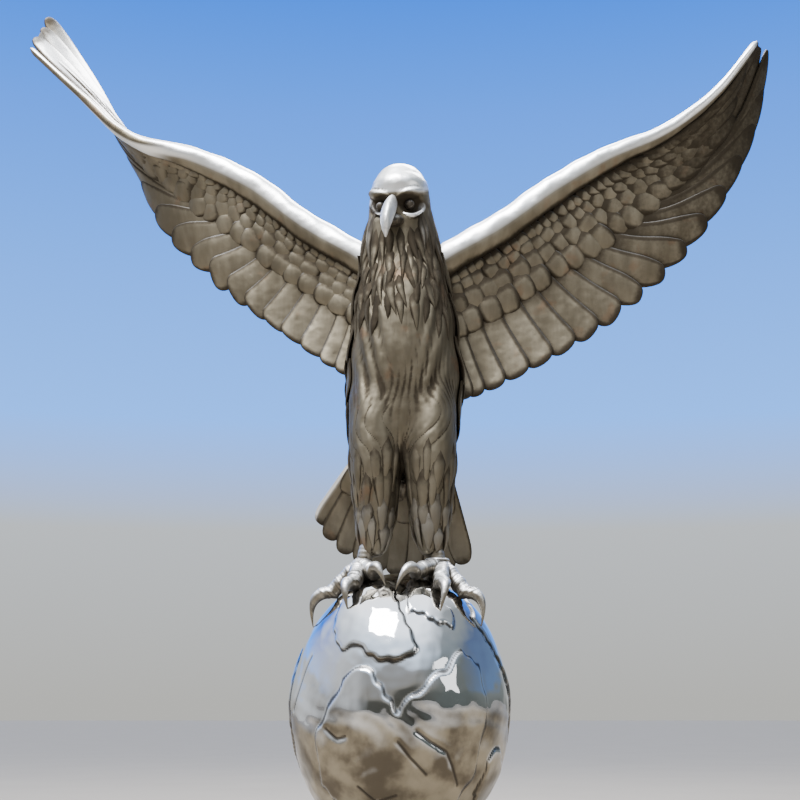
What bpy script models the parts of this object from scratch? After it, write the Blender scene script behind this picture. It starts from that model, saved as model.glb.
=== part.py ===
"""An eagle with raised wings, standing on a globe that sits in a low round base. Metres, +Z up, the bird faces -Y."""

import math

import bmesh
import bpy
from mathutils import Matrix, Vector

# Base: a turned foot with a collar, dished on top for the globe
BASE_RADIUS = 0.36
BASE_STEP_HEIGHT = 0.05
BASE_HEIGHT = 0.15
COLLAR_RADIUS = 0.235
COLLAR_BEAD = 0.018

# Globe: a little taller than wide, with raised land
GLOBE_WIDTH = 0.872
GLOBE_HEIGHT = 1.09
GLOBE_SEAT = 0.055
LAND_RELIEF = 0.009
GAP = 0.0003

# Eagle: crown to globe top, and what is sized by itself
EAGLE_HEIGHT = 1.785
FEATHER_THICKNESS = 0.018
FLIGHT_PITCH = 0.115
FLIGHT_OVERLAP = 1.3
WING_SHEET = 0.016
FLIGHT_FEATHERS = 18
COVERT_FEATHERS = 11
COVERT_WIDTH = 0.15
COVERT_THICKNESS = 0.044
TOE_RADIUS = 0.029
SHANK_RADIUS = 0.036
EYE_RADIUS = 0.026
TAIL_FEATHERS = 8
TAIL_FEATHER_WIDTH = 0.13
NECK_LOCKS = 11

GLOBE_CENTRE = Vector((0.0, 0.0, BASE_HEIGHT - GLOBE_SEAT + GLOBE_HEIGHT / 2))
GLOBE_TOP = GLOBE_CENTRE.z + GLOBE_HEIGHT / 2

STEEL_COLOUR = (0.46, 0.44, 0.40, 1.0)
MIRROR_COLOUR = (0.62, 0.62, 0.62, 1.0)
BASE_COLOUR = (0.40, 0.39, 0.37, 1.0)

# Wing stations from inside the body to the tip: leading edge, then trailing edge, as shares of the eagle's height,
# measured from the top of the globe
LEFT_WING = (
    ((0.030, 0.060, 0.700), (0.060, 0.055, 0.470)),
    ((0.106, 0.067, 0.774), (0.160, 0.078, 0.429)),
    ((0.246, 0.063, 0.858), (0.343, 0.092, 0.515)),
    ((0.379, 0.058, 0.955), (0.519, 0.106, 0.628)),
    ((0.518, 0.047, 1.039), (0.677, 0.117, 0.773)),
    ((0.666, 0.031, 1.105), (0.808, 0.124, 0.953)),
    ((0.795, 0.016, 1.205), (0.907, 0.120, 1.152)),
    ((0.900, 0.000, 1.337), (0.946, 0.067, 1.347)),
)
RIGHT_WING = (
    ((-0.015, 0.065, 0.700), (-0.035, 0.065, 0.510)),
    ((-0.089, 0.078, 0.778), (-0.117, 0.090, 0.484)),
    ((-0.235, 0.097, 0.875), (-0.289, 0.132, 0.604)),
    ((-0.375, 0.116, 0.990), (-0.456, 0.174, 0.747)),
    ((-0.534, 0.134, 1.077), (-0.613, 0.227, 0.924)),
    ((-0.703, 0.153, 1.143), (-0.735, 0.288, 1.148)),
    ((-0.845, 0.172, 1.277), (-0.855, 0.325, 1.376)),
    ((-0.989, 0.190, 1.418), (-0.972, 0.269, 1.550)),
)

# Trunk sections from the vent up to the crown, as shares: centre x, centre y, height, half width, half depth
TRUNK = (
    (0.010, 0.096, 0.190, 0.030, 0.030),
    (0.012, 0.066, 0.240, 0.071, 0.070),
    (0.012, 0.045, 0.296, 0.107, 0.092),
    (0.008, 0.028, 0.366, 0.126, 0.106),
    (0.011, 0.014, 0.461, 0.130, 0.118),
    (0.010, 0.006, 0.558, 0.122, 0.121),
    (0.007, 0.006, 0.658, 0.111, 0.110),
    (0.005, 0.003, 0.732, 0.099, 0.095),
    (0.001, -0.009, 0.803, 0.089, 0.082),
    (0.000, -0.020, 0.850, 0.078, 0.080),
    (0.000, -0.028, 0.895, 0.075, 0.083),
    (0.000, -0.030, 0.940, 0.064, 0.075),
    (0.000, -0.028, 0.972, 0.044, 0.052),
    (0.000, -0.026, 0.990, 0.020, 0.024),
)

# Thigh sections from the hip down, as shares, for the bird's left; the right is mirrored about the trunk's middle
THIGH = (
    (0.062, 0.020, 0.500, 0.040, 0.060),
    (0.067, 0.000, 0.430, 0.056, 0.080),
    (0.066, -0.011, 0.350, 0.060, 0.086),
    (0.064, -0.017, 0.261, 0.061, 0.078),
    (0.063, -0.017, 0.190, 0.053, 0.064),
    (0.063, -0.017, 0.120, 0.041, 0.048),
    (0.066, -0.019, 0.066, 0.025, 0.028),
)
TRUNK_MIDDLE = 0.006

# Beak sections from inside the face to the hooked tip, as shares: point, half width, half height
BEAK = (
    ((-0.005, -0.070, 0.868), 0.030, 0.036),
    ((-0.017, -0.112, 0.853), 0.025, 0.031),
    ((-0.026, -0.141, 0.832), 0.020, 0.026),
    ((-0.032, -0.157, 0.803), 0.014, 0.018),
    ((-0.034, -0.157, 0.780), 0.008, 0.011),
    ((-0.035, -0.151, 0.762), 0.003, 0.004),
)
EYES = ((0.023, -0.088, 0.865), (-0.046, -0.088, 0.863))
BROWS = (
    ((-0.013, -0.104, 0.884), (0.024, -0.103, 0.890), (0.056, -0.068, 0.902)),
    ((-0.019, -0.104, 0.884), (-0.046, -0.096, 0.888), (-0.066, -0.066, 0.900)),
)

# Feet, as shares of the globe's half width: where each foot stands and where its claws end
FEET = (
    ((0.335, -0.10), ((-0.04, -0.55), (0.35, -0.66), (0.73, -0.37), (0.32, 0.34))),
    ((-0.315, -0.10), ((-0.13, -0.47), (-0.46, -0.57), (-0.80, -0.08), (-0.30, 0.34))),
)
ANKLE_HEIGHT = 0.046

# Feather outlines as share of the length, width and thickness factors
FLIGHT_SHAPE = ((0.0, 0.6, 1.0), (0.45, 0.95, 1.0), (0.84, 1.0, 0.9), (0.95, 0.74, 0.8), (1.0, 0.34, 0.6))
COVERT_SHAPE = ((0.0, 0.6, 0.8), (0.65, 1.0, 1.0), (0.92, 0.75, 0.8), (1.0, 0.40, 0.5))
LOCK_SHAPE = ((0.0, 0.55, 0.8), (0.35, 1.0, 1.0), (0.7, 0.75, 0.8), (1.0, 0.12, 0.3))

# Tail: the middle of its root, the middle of its tips, and half of how far each spreads, as shares
TAIL_ROOT = (0.012, 0.085, 0.330)
TAIL_TIP = (-0.008, 0.200, 0.036)
TAIL_ROOT_SPREAD = 0.062
TAIL_TIP_SPREAD = 0.160

# Coastlines as longitude and latitude in degrees, longitude 0 facing -Y and growing towards +X
LANDS = (
    ((-50, 12), (-34, 20), (-24, 13), (-8, 4), (2, 10), (14, 8), (24, 20), (34, 30), (38, 44), (20, 58), (-10, 62),
     (-38, 54), (-56, 36)),
    ((58, 40), (70, 22), (84, 8), (98, -14), (112, -36), (124, -18), (134, 6), (130, 28), (112, 46), (84, 56)),
    ((-26, -18), (-10, -12), (6, -22), (14, -40), (2, -58), (-16, -52), (-28, -36)),
    ((44, -20), (58, -14), (72, -24), (70, -38), (54, -44), (42, -34)),
    ((150, 50), (168, 30), (186, 14), (206, -6), (222, 2), (236, 22), (228, 42), (204, 58), (174, 62)),
    ((190, -26), (206, -22), (220, -36), (212, -54), (194, -48)),
    ((-104, 34), (-90, 22), (-84, 4), (-92, -18), (-108, -34), (-120, -14), (-124, 10), (-118, 28)),
)


def shares(point):
    """A point given as shares of the eagle's height above the top of the globe."""
    return Vector((0, 0, GLOBE_TOP)) + EAGLE_HEIGHT * Vector(point)


def clear_scene():
    for thing in list(bpy.data.objects):
        bpy.data.objects.remove(thing, do_unlink=True)


def new_collection(name):
    made = bpy.data.collections.new(name)
    bpy.context.scene.collection.children.link(made)
    return made


def steel(name, colour, roughness):
    material = bpy.data.materials.new(name)
    material.use_nodes = True
    shader = material.node_tree.nodes["Principled BSDF"]
    shader.inputs["Base Color"].default_value = colour
    shader.inputs["Metallic"].default_value = 1.0
    shader.inputs["Roughness"].default_value = roughness
    return material


def add_object(name, mesh, collection, cutter=False):
    thing = bpy.data.objects.new(name, mesh)
    collection.objects.link(thing)
    if cutter:
        thing.hide_render = True
        thing.display_type = "WIRE"
    return thing


def catmull(points, share):
    """The point at a share of a smooth curve through evenly spaced points."""
    spans = len(points) - 1
    at = min(max(share, 0.0), 1.0) * spans
    i = min(int(at), spans - 1)
    t = at - i
    p0, p1, p2, p3 = (points[min(max(k, 0), spans)] for k in (i - 1, i, i + 1, i + 2))
    return 0.5 * (2 * p1 + (p2 - p0) * t + (2 * p0 - 5 * p1 + 4 * p2 - p3) * t**2 + (3 * p1 - p0 - 3 * p2 + p3) * t**3)


def loft(name, rings, collection):
    """A closed solid through rings of equal numbers of points, capped at both ends."""
    shell = bmesh.new()
    rows = [[shell.verts.new(point) for point in ring] for ring in rings]
    sides = len(rows[0])
    for lower, upper in zip(rows, rows[1:]):
        for k in range(sides):
            shell.faces.new((lower[k], lower[(k + 1) % sides], upper[(k + 1) % sides], upper[k]))
    shell.faces.new(rows[0][::-1])
    shell.faces.new(rows[-1])
    bmesh.ops.triangulate(shell, faces=shell.faces)
    bmesh.ops.recalc_face_normals(shell, faces=shell.faces)
    mesh = bpy.data.meshes.new(name)
    shell.to_mesh(mesh)
    shell.free()
    return add_object(name, mesh, collection, cutter=True)


def ellipse(centre, across, along, sides):
    """A ring of points round a centre, from its two half axes as vectors."""
    turns = [2 * math.pi * k / sides for k in range(sides)]
    return [centre + math.cos(a) * across + math.sin(a) * along for a in turns]


def tube(name, points, radii, collection, bevel_resolution=2):
    """A round bar along points, its radius given at each, as a welded mesh."""
    curve = bpy.data.curves.new(name, "CURVE")
    curve.dimensions = "3D"
    curve.bevel_depth = 1.0
    curve.bevel_resolution = bevel_resolution
    curve.use_fill_caps = True
    spline = curve.splines.new("POLY")
    spline.points.add(len(points) - 1)
    for target, point, radius in zip(spline.points, points, radii):
        target.co = (*point, 1.0)
        target.radius = radius
    thing = add_object(name + "_curve", curve, collection)
    bpy.context.view_layer.update()
    mesh = bpy.data.meshes.new_from_object(thing.evaluated_get(bpy.context.evaluated_depsgraph_get()))
    placed = thing.matrix_world.copy()
    bpy.data.objects.remove(thing)
    welded = bmesh.new()
    welded.from_mesh(mesh)
    bmesh.ops.remove_doubles(welded, verts=welded.verts, dist=0.0001)
    bmesh.ops.recalc_face_normals(welded, faces=welded.faces)
    welded.to_mesh(mesh)
    welded.free()
    bar = add_object(name, mesh, collection, cutter=True)
    bar.matrix_world = placed
    return bar


def blade(name, spine, normals, shape, half_width, thickness, collection, twist=0.0):
    """A feather: a flat lens along a spine, its width and thickness following a shape's factors."""
    rings = []
    for k, (_, width, depth) in enumerate(shape):
        ahead = spine[min(k + 1, len(spine) - 1)] - spine[max(k - 1, 0)]
        side = normals[k].cross(ahead).normalized()
        side = Matrix.Rotation(twist, 3, ahead.normalized()) @ side
        up = ahead.cross(side).normalized()
        rings.append(ellipse(spine[k], side * half_width * width, up * thickness / 2 * depth, 4))
    return loft(name, rings, collection)


class Wing:
    """A curved sheet from a leading edge to a trailing edge, on one side of the bird."""

    CAMBER = 0.07
    NOSE_SHARES = (0.040, 0.043, 0.040, 0.037, 0.030, 0.020, 0.013, 0.009)
    SHEET = ((0.30, 2.0), (0.50, 1.5), (0.55, 0.8), (0.76, 0.7))
    FIRST = 1 / 7

    def __init__(self, name, stations, side):
        self.name = name
        self.side = side
        self.leading = [shares(lead) for lead, _ in stations]
        self.trailing = [shares(trail) for _, trail in stations]

    def edges(self, along):
        return catmull(self.leading, along), catmull(self.trailing, along)

    def dorsal(self, along, step=0.01):
        """The direction towards the wing's back at a share of the span."""
        lead, trail = self.edges(along)
        ahead = catmull(self.leading, min(along + step, 1.0)) - catmull(self.leading, max(along - step, 0.0))
        return (self.side * ahead.cross(trail - lead)).normalized()

    def at(self, along, across):
        """A point of the sheet: across is 0 at the leading edge and 1 at the feather tips."""
        lead, trail = self.edges(along)
        chord = trail - lead
        bulge = self.CAMBER * chord.length * 4 * across * (1 - across)
        return lead + chord * across + self.dorsal(along) * bulge

    def nose(self, along):
        spans = len(self.NOSE_SHARES) - 1
        at = min(max(along, 0.0), 1.0) * spans
        i = min(int(at), spans - 1)
        here, beyond = self.NOSE_SHARES[i], self.NOSE_SHARES[i + 1]
        return EAGLE_HEIGHT * (here + (beyond - here) * (at - i))

    def core(self, collection, spans=14):
        """The arm's rounded front edge and the thin sheet behind it, as one solid."""
        rings = []
        for k in range(spans + 1):
            along = k / spans
            lead, trail = self.edges(along)
            chord = (trail - lead).normalized()
            dorsal = self.dorsal(along)
            radius = self.nose(along)
            turns = [math.radians(a) for a in (60, 105, 150, 210, 255, 300)]
            front = [lead + radius * (math.cos(a) * chord + 0.72 * math.sin(a) * dorsal) for a in turns]
            below, above = [], []
            for across, share in self.SHEET:
                half = min(WING_SHEET * share, radius * 0.6) / 2
                below.append(self.at(along, across) - dorsal * half)
                above.append(self.at(along, across) + dorsal * half)
            rings.append(front + below + above[::-1])
        return loft(f"{self.name}_core", rings, collection)

    def feather(self, label, root, tip, shape, half_width, thickness, collection, twist=0.0):
        """A feather on the sheet between two places given as (along, across)."""
        places = [[a + (b - a) * row[0] for a, b in zip(root, tip)] for row in shape]
        spine = [self.at(*place) for place in places]
        normals = [self.dorsal(place[0]) for place in places]
        return blade(f"{self.name}_{label}", spine, normals, shape, half_width, thickness, collection,
                     self.side * twist)

    def flight_places(self):
        """Where each long feather starts and ends: they fan from across the wing to along its front edge."""
        places = []
        for k in range(FLIGHT_FEATHERS):
            share = k / (FLIGHT_FEATHERS - 1)
            along = self.FIRST + (1 - self.FIRST) * share**1.25
            last = k == FLIGHT_FEATHERS - 1
            root = (along - 0.03 - 0.17 * share**3, 0.15 if last else 0.36)
            places.append((root, (along, 0.12 if last else 1.0)))
        return places

    def flights(self, collection, twist=math.radians(8)):
        """The long feathers whose rounded tips make the scalloped trailing edge, each a bit wider than its pitch."""
        places = self.flight_places()
        tips = [self.at(*tip) for _, tip in places]
        for k, (root, tip) in enumerate(places):
            pitch = (tips[min(k + 1, len(tips) - 1)] - tips[max(k - 1, 0)]) / 2
            ahead = (tips[k] - self.at(*root)).normalized()
            half_width = FLIGHT_OVERLAP / 2 * min(pitch.cross(ahead).length, FLIGHT_PITCH)
            half_width = max(half_width, FLIGHT_PITCH * 0.3)
            self.feather(f"flight_{k}", root, tip, FLIGHT_SHAPE, half_width, FEATHER_THICKNESS, collection, twist)

    def coverts(self, collection, root_across=0.34, tip_across=0.60):
        """A row of short rounded feathers that overlap the roots of the flight feathers."""
        for k in range(COVERT_FEATHERS):
            tip_along = self.FIRST + (0.86 - self.FIRST) * (k + 0.5) / COVERT_FEATHERS
            root = (tip_along - 0.03, root_across)
            self.feather(f"covert_{k}", root, (tip_along, tip_across), COVERT_SHAPE, COVERT_WIDTH / 2,
                         COVERT_THICKNESS, collection)


def globe_point(x_share, y_share, lift=0.0):
    """A point over the globe at shares of its half width, lifted along the surface's normal."""
    half_width, half_height = GLOBE_WIDTH / 2, GLOBE_HEIGHT / 2
    up = math.sqrt(max(1 - x_share**2 - y_share**2, 0.0))
    normal = Vector((x_share / half_width, y_share / half_width, up / half_height)).normalized()
    surface = GLOBE_CENTRE + Vector((x_share * half_width, y_share * half_width, up * half_height))
    return surface + normal * lift


def add_globe(name, collection, cutters, grow=0.0):
    """The globe with its raised land, grown all round by a clearance."""

    def ball(label, extra, target):
        mesh = bpy.data.meshes.new(label)
        shell = bmesh.new()
        bmesh.ops.create_uvsphere(shell, u_segments=32, v_segments=20, radius=1.0)
        half_width, half_height = GLOBE_WIDTH / 2 + extra, GLOBE_HEIGHT / 2 + extra
        bmesh.ops.scale(shell, vec=(half_width, half_width, half_height), verts=shell.verts)
        shell.to_mesh(mesh)
        shell.free()
        made = add_object(label, mesh, target, cutter=target is cutters)
        made.location = GLOBE_CENTRE
        return made

    wedges = new_collection(name + "_wedges")
    for index, coast in enumerate(LANDS):
        shell = bmesh.new()
        rings = []
        for reach in (0.5, 2.4):
            ring = []
            for longitude, latitude in coast:
                lon, lat = math.radians(longitude), math.radians(latitude)
                aim = Vector((math.sin(lon) * math.cos(lat) * GLOBE_WIDTH, -math.cos(lon) * math.cos(lat) * GLOBE_WIDTH,
                              math.sin(lat) * GLOBE_HEIGHT)) / 2
                ring.append(shell.verts.new(GLOBE_CENTRE + reach * aim))
            rings.append(ring)
        inner, outer = rings
        sides = len(coast)
        for k in range(sides):
            shell.faces.new((inner[k], inner[(k + 1) % sides], outer[(k + 1) % sides], outer[k]))
        shell.faces.new(inner[::-1])
        shell.faces.new(outer)
        bmesh.ops.triangulate(shell, faces=shell.faces)
        bmesh.ops.recalc_face_normals(shell, faces=shell.faces)
        mesh = bpy.data.meshes.new(f"{name}_wedge_{index}")
        shell.to_mesh(mesh)
        shell.free()
        add_object(mesh.name, mesh, wedges, cutter=True)
    lands = []
    for index, wedge in enumerate(list(wedges.objects)):
        land = ball(f"{name}_land_{index}", LAND_RELIEF + grow, cutters)
        cut = land.modifiers.new("coast", "BOOLEAN")
        cut.operation = "INTERSECT"
        cut.object = wedge
        lands.append(land)
    globe = ball(name, grow, collection)
    for land in lands:
        join = globe.modifiers.new("land", "BOOLEAN")
        join.operation = "UNION"
        join.object = land
    return globe


def add_base(collection, globe_cutter):
    """A turned foot and collar, dished on top by the globe it carries."""
    top, step = BASE_HEIGHT, BASE_STEP_HEIGHT
    bead = [(COLLAR_RADIUS + COLLAR_BEAD * math.sin(a), top - COLLAR_BEAD + COLLAR_BEAD * math.cos(a))
            for a in (math.pi * k / 5 for k in range(6))]
    waist = COLLAR_RADIUS + COLLAR_BEAD
    cove_end = BASE_RADIUS * 0.9
    drop = top - 2 * COLLAR_BEAD - step
    cove = [(cove_end - (cove_end - waist) * math.cos(a), step + drop * (1 - math.sin(a)))
            for a in (math.pi / 2 * k / 4 for k in range(1, 4))]
    edge = step * 0.25
    profile = [(0.0, top), *bead, (waist, top - 2 * COLLAR_BEAD), *cove, (cove_end, step),
               (BASE_RADIUS - edge, step), (BASE_RADIUS, step - edge), (BASE_RADIUS, 0.0), (0.0, 0.0)]
    mesh = bpy.data.meshes.new("base")
    mesh.from_pydata([(x, 0, z) for x, z in profile], [(k, k + 1) for k in range(len(profile) - 1)], [])
    base = add_object("base", mesh, collection)
    turn = base.modifiers.new("turn", "SCREW")
    turn.steps = turn.render_steps = 32
    turn.use_merge_vertices = True
    turn.merge_threshold = 0.0001
    dish = base.modifiers.new("dish", "BOOLEAN")
    dish.operation = "DIFFERENCE"
    dish.object = globe_cutter
    return base


def trunk_rings(sides=14):
    rings = []
    for x, y, z, half_width, half_depth in TRUNK:
        centre = shares((x, y, z))
        rings.append(ellipse(centre, Vector((half_width * EAGLE_HEIGHT, 0, 0)), Vector((0, half_depth * EAGLE_HEIGHT, 0)),
                             sides))
    return rings


def add_trunk(parts):
    loft("trunk", trunk_rings(), parts)


def add_leg(index, stance, claw_ends, parts):
    """A thigh, the shank below it, and four clawed toes over the globe."""
    side = 1 if stance[0] > 0 else -1
    rings = []
    for x, y, z, half_width, half_depth in THIGH:
        centre = shares((TRUNK_MIDDLE + side * x, y, z))
        rings.append(ellipse(centre, Vector((half_width * EAGLE_HEIGHT, 0, 0)), Vector((0, half_depth * EAGLE_HEIGHT, 0)),
                             10))
    loft(f"thigh_{index}", rings, parts)
    foot = globe_point(*stance)
    ankle = foot + Vector((0, 0, ANKLE_HEIGHT * EAGLE_HEIGHT))
    knee_x, knee_y, knee_z = THIGH[-2][:3]
    knee = shares((TRUNK_MIDDLE + side * knee_x, knee_y, knee_z))
    tube(f"shank_{index}", [knee, ankle, foot], [SHANK_RADIUS, SHANK_RADIUS, SHANK_RADIUS * 1.1], parts)
    for number, end in enumerate(claw_ends):
        points, radii = [], []
        for k in range(7):
            t = k / 6
            x = stance[0] + (end[0] - stance[0]) * t
            y = stance[1] + (end[1] - stance[1]) * t
            claw = max(0.0, (t - 0.62) / 0.38)
            radius = TOE_RADIUS * (1.15 - 0.25 * t) * (1 - 0.86 * claw)
            arch = TOE_RADIUS * (1.3 * (1 - t) ** 2 + 1.5 * math.sin(math.pi * min(max((t - 0.55) / 0.45, 0), 1)))
            points.append(globe_point(x, y, radius * 0.75 + arch))
            radii.append(radius)
        tube(f"toe_{index}_{number}", points, radii, parts, bevel_resolution=1)


def add_head(parts):
    """The hooked beak, the brows and the eyes."""
    rings = []
    for k, (point, half_width, half_height) in enumerate(BEAK):
        before, after = BEAK[max(k - 1, 0)][0], BEAK[min(k + 1, len(BEAK) - 1)][0]
        ahead = (Vector(after) - Vector(before)).normalized()
        side = ahead.cross(Vector((0, 0, 1))).normalized()
        up = side.cross(ahead)
        rings.append(ellipse(shares(point), side * half_width * EAGLE_HEIGHT, up * half_height * EAGLE_HEIGHT, 8))
    loft("beak", rings, parts)
    for index, brow in enumerate(BROWS):
        tube(f"brow_{index}", [shares(p) for p in brow], [0.012, 0.017, 0.010], parts, bevel_resolution=1)
    for index, eye in enumerate(EYES):
        mesh = bpy.data.meshes.new(f"eye_{index}")
        shell = bmesh.new()
        bmesh.ops.create_uvsphere(shell, u_segments=10, v_segments=6, radius=EYE_RADIUS)
        shell.to_mesh(mesh)
        shell.free()
        add_object(mesh.name, mesh, parts, cutter=True).location = shares(eye)


def add_tail(parts):
    """A fan of long feathers from the vent, down behind the legs."""
    root, tip = shares(TAIL_ROOT), shares(TAIL_TIP)
    back = Vector((0, 1, 0.35)).normalized()
    for k in range(TAIL_FEATHERS):
        share = 2 * k / (TAIL_FEATHERS - 1) - 1
        start = root + Vector((share * TAIL_ROOT_SPREAD, -0.01 * abs(share), 0)) * EAGLE_HEIGHT
        end = tip + Vector((share * TAIL_TIP_SPREAD, -0.03 * share**2, 0.012 * share**2)) * EAGLE_HEIGHT
        spine = [start.lerp(end, t) + back * 0.03 * math.sin(math.pi * t) for t, _, _ in FLIGHT_SHAPE]
        blade(f"tail_{k}", spine, [back] * len(spine), FLIGHT_SHAPE, TAIL_FEATHER_WIDTH / 2, FEATHER_THICKNESS * 1.2,
              parts, math.radians(6 if share > 0 else -6))


def add_neck_locks(parts):
    """Pointed locks of feathers that fall from the neck over the shoulders and the breast."""
    for row, (top, bottom, lean) in enumerate(((0.820, 0.690, 0.0), (0.760, 0.610, 0.5))):
        for k in range(NECK_LOCKS):
            angle = 2 * math.pi * (k + lean) / NECK_LOCKS
            out = Vector((math.cos(angle), math.sin(angle), 0))
            spine = []
            for t, _, _ in LOCK_SHAPE:
                height = top + (bottom - top) * t
                x, y, half_width, half_depth = trunk_section(height)
                swell = 1.02 + 0.05 * math.sin(math.pi * t)
                spine.append(shares((x + out.x * half_width * swell, y + out.y * half_depth * swell, height)))
            blade(f"lock_{row}_{k}", spine, [out] * len(spine), LOCK_SHAPE, 0.040, FEATHER_THICKNESS, parts)


def trunk_section(height):
    """The trunk's centre and half axes at a height, all as shares."""
    for below, above in zip(TRUNK, TRUNK[1:]):
        if below[2] <= height <= above[2]:
            t = (height - below[2]) / (above[2] - below[2])
            x, y, _, half_width, half_depth = (a + (b - a) * t for a, b in zip(below, above))
            return x, y, half_width, half_depth
    raise ValueError("no trunk at that height")


def add_eagle(collection, parts, globe_cutter):
    add_trunk(parts)
    for index, (stance, claw_ends) in enumerate(FEET):
        add_leg(index, stance, claw_ends, parts)
    add_head(parts)
    add_tail(parts)
    add_neck_locks(parts)
    for wing in (Wing("left_wing", LEFT_WING, 1), Wing("right_wing", RIGHT_WING, -1)):
        wing.core(parts)
        wing.flights(parts)
        wing.coverts(parts)
    trunk = parts.objects["trunk"]
    eagle = add_object("eagle", trunk.data, collection)
    parts.objects.unlink(trunk)
    join = eagle.modifiers.new("join", "BOOLEAN")
    join.operation = "UNION"
    join.operand_type = "COLLECTION"
    join.collection = parts
    lighten = eagle.modifiers.new("lighten", "DECIMATE")
    lighten.ratio = 0.58
    fit = eagle.modifiers.new("fit", "BOOLEAN")
    fit.operation = "DIFFERENCE"
    fit.object = globe_cutter
    return eagle


def main():
    clear_scene()
    sculpture = new_collection("eagle_sculpture")
    cutters = new_collection("cutters")
    parts = new_collection("eagle_parts")
    globe = add_globe("globe", sculpture, cutters)
    globe_cutter = add_globe("globe_clearance", cutters, cutters, grow=GAP)
    base = add_base(sculpture, globe_cutter)
    eagle = add_eagle(sculpture, parts, globe_cutter)
    for thing, material in (
        (eagle, steel("eagle_steel", STEEL_COLOUR, 0.32)),
        (globe, steel("mirror_steel", MIRROR_COLOUR, 0.06)),
        (base, steel("base_steel", BASE_COLOUR, 0.3)),
    ):
        thing.data.materials.append(material)


main()
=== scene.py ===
"""The dressed eagle on its globe: plumage, face, feet, globe and base, their steels, a floor and light."""

import math
import random

import bpy
import numpy as np
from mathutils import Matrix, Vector
from mathutils.bvhtree import BVHTree


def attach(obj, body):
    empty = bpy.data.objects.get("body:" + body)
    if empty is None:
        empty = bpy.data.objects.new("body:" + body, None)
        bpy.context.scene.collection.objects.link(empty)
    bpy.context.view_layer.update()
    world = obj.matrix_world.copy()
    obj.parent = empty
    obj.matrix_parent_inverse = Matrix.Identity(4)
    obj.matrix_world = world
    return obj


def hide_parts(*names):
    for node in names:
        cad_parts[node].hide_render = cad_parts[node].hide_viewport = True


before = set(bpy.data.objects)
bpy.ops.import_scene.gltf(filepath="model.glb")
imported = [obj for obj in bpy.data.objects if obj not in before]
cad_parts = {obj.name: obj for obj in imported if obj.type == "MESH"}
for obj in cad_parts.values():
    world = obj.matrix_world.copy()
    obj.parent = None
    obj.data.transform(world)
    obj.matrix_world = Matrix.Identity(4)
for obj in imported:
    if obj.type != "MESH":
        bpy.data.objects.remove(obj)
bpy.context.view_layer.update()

# Sizes shared with the solids
BASE_RADIUS = 0.36
BASE_STEP_HEIGHT = 0.05
BASE_HEIGHT = 0.15
COLLAR_RADIUS = 0.235
COLLAR_BEAD = 0.018
GLOBE_WIDTH = 0.872
GLOBE_HEIGHT = 1.09
GLOBE_SEAT = 0.055
LAND_RELIEF = 0.009
EAGLE_HEIGHT = 1.785
GLOBE_CENTRE = np.array([0.0, 0.0, BASE_HEIGHT - GLOBE_SEAT + GLOBE_HEIGHT / 2])
GLOBE_TOP = GLOBE_CENTRE[2] + GLOBE_HEIGHT / 2
GLOBE_HALF = np.array([GLOBE_WIDTH, GLOBE_WIDTH, GLOBE_HEIGHT]) / 2

# Sizes that only the dressed figure has
BASE_ROUND = 0.0125
BASE_CHAMFER = 0.004
SEA_DEPTH = 0.0015
FOLD_DEPTH = 0.005
DENT_DEPTH = 0.0022
CRUMPLE_DEPTH = 0.0016

# Wing stations from inside the body to the tip: leading edge, then trailing edge, as shares
LEFT_WING = (
    ((0.030, 0.060, 0.700), (0.060, 0.055, 0.470)),
    ((0.106, 0.067, 0.774), (0.160, 0.078, 0.429)),
    ((0.246, 0.063, 0.858), (0.343, 0.092, 0.515)),
    ((0.379, 0.058, 0.955), (0.519, 0.106, 0.628)),
    ((0.518, 0.047, 1.039), (0.677, 0.117, 0.773)),
    ((0.666, 0.031, 1.105), (0.808, 0.124, 0.953)),
    ((0.795, 0.016, 1.205), (0.907, 0.120, 1.152)),
    ((0.900, 0.000, 1.337), (0.946, 0.067, 1.347)),
)
RIGHT_WING = (
    ((-0.015, 0.065, 0.700), (-0.035, 0.065, 0.510)),
    ((-0.089, 0.078, 0.778), (-0.117, 0.090, 0.484)),
    ((-0.235, 0.097, 0.875), (-0.289, 0.132, 0.604)),
    ((-0.375, 0.116, 0.990), (-0.456, 0.174, 0.747)),
    ((-0.534, 0.134, 1.077), (-0.613, 0.227, 0.924)),
    ((-0.703, 0.153, 1.143), (-0.735, 0.288, 1.148)),
    ((-0.845, 0.172, 1.277), (-0.855, 0.325, 1.376)),
    ((-0.989, 0.190, 1.418), (-0.972, 0.269, 1.550)),
)
NOSE_SHARES = (0.040, 0.043, 0.040, 0.037, 0.030, 0.020, 0.013, 0.009)
WING_CAMBER = 0.07
# How many long feathers each wing has, where along it they begin, and their sizes
FLIGHT_FEATHERS = {"left_wing": 19, "right_wing": 21}
FIRST = 1 / 7
FLIGHT_THICKNESS = 0.034
NARROWEST_FLIGHT = 0.082
NARROWEST_PRIMARY = 0.100
WIDEST_FLIGHT = 0.125
QUILL_WIDTH = 0.18

# The two feathers at the wing's point: how far across the wing each ends and starts
FINGER_TIPS = (0.60, 0.24)
FINGER_ROOTS = (0.22, 0.17)

# Rows of small plates on the wings: where they end across the wing, reach, width, where the row stops
COVERT_ROWS = (
    (0.205, 0.10, 0.052, 0.97),
    (0.305, 0.15, 0.070, 0.95),
    (0.425, 0.20, 0.092, 0.92),
    (0.565, 0.24, 0.104, 0.88),
)
COVERT_THICKNESS = 0.015

# Past the wing's end, for a front edge whose painted highlight stays on the same side all along
NEVER = 2.0

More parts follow.
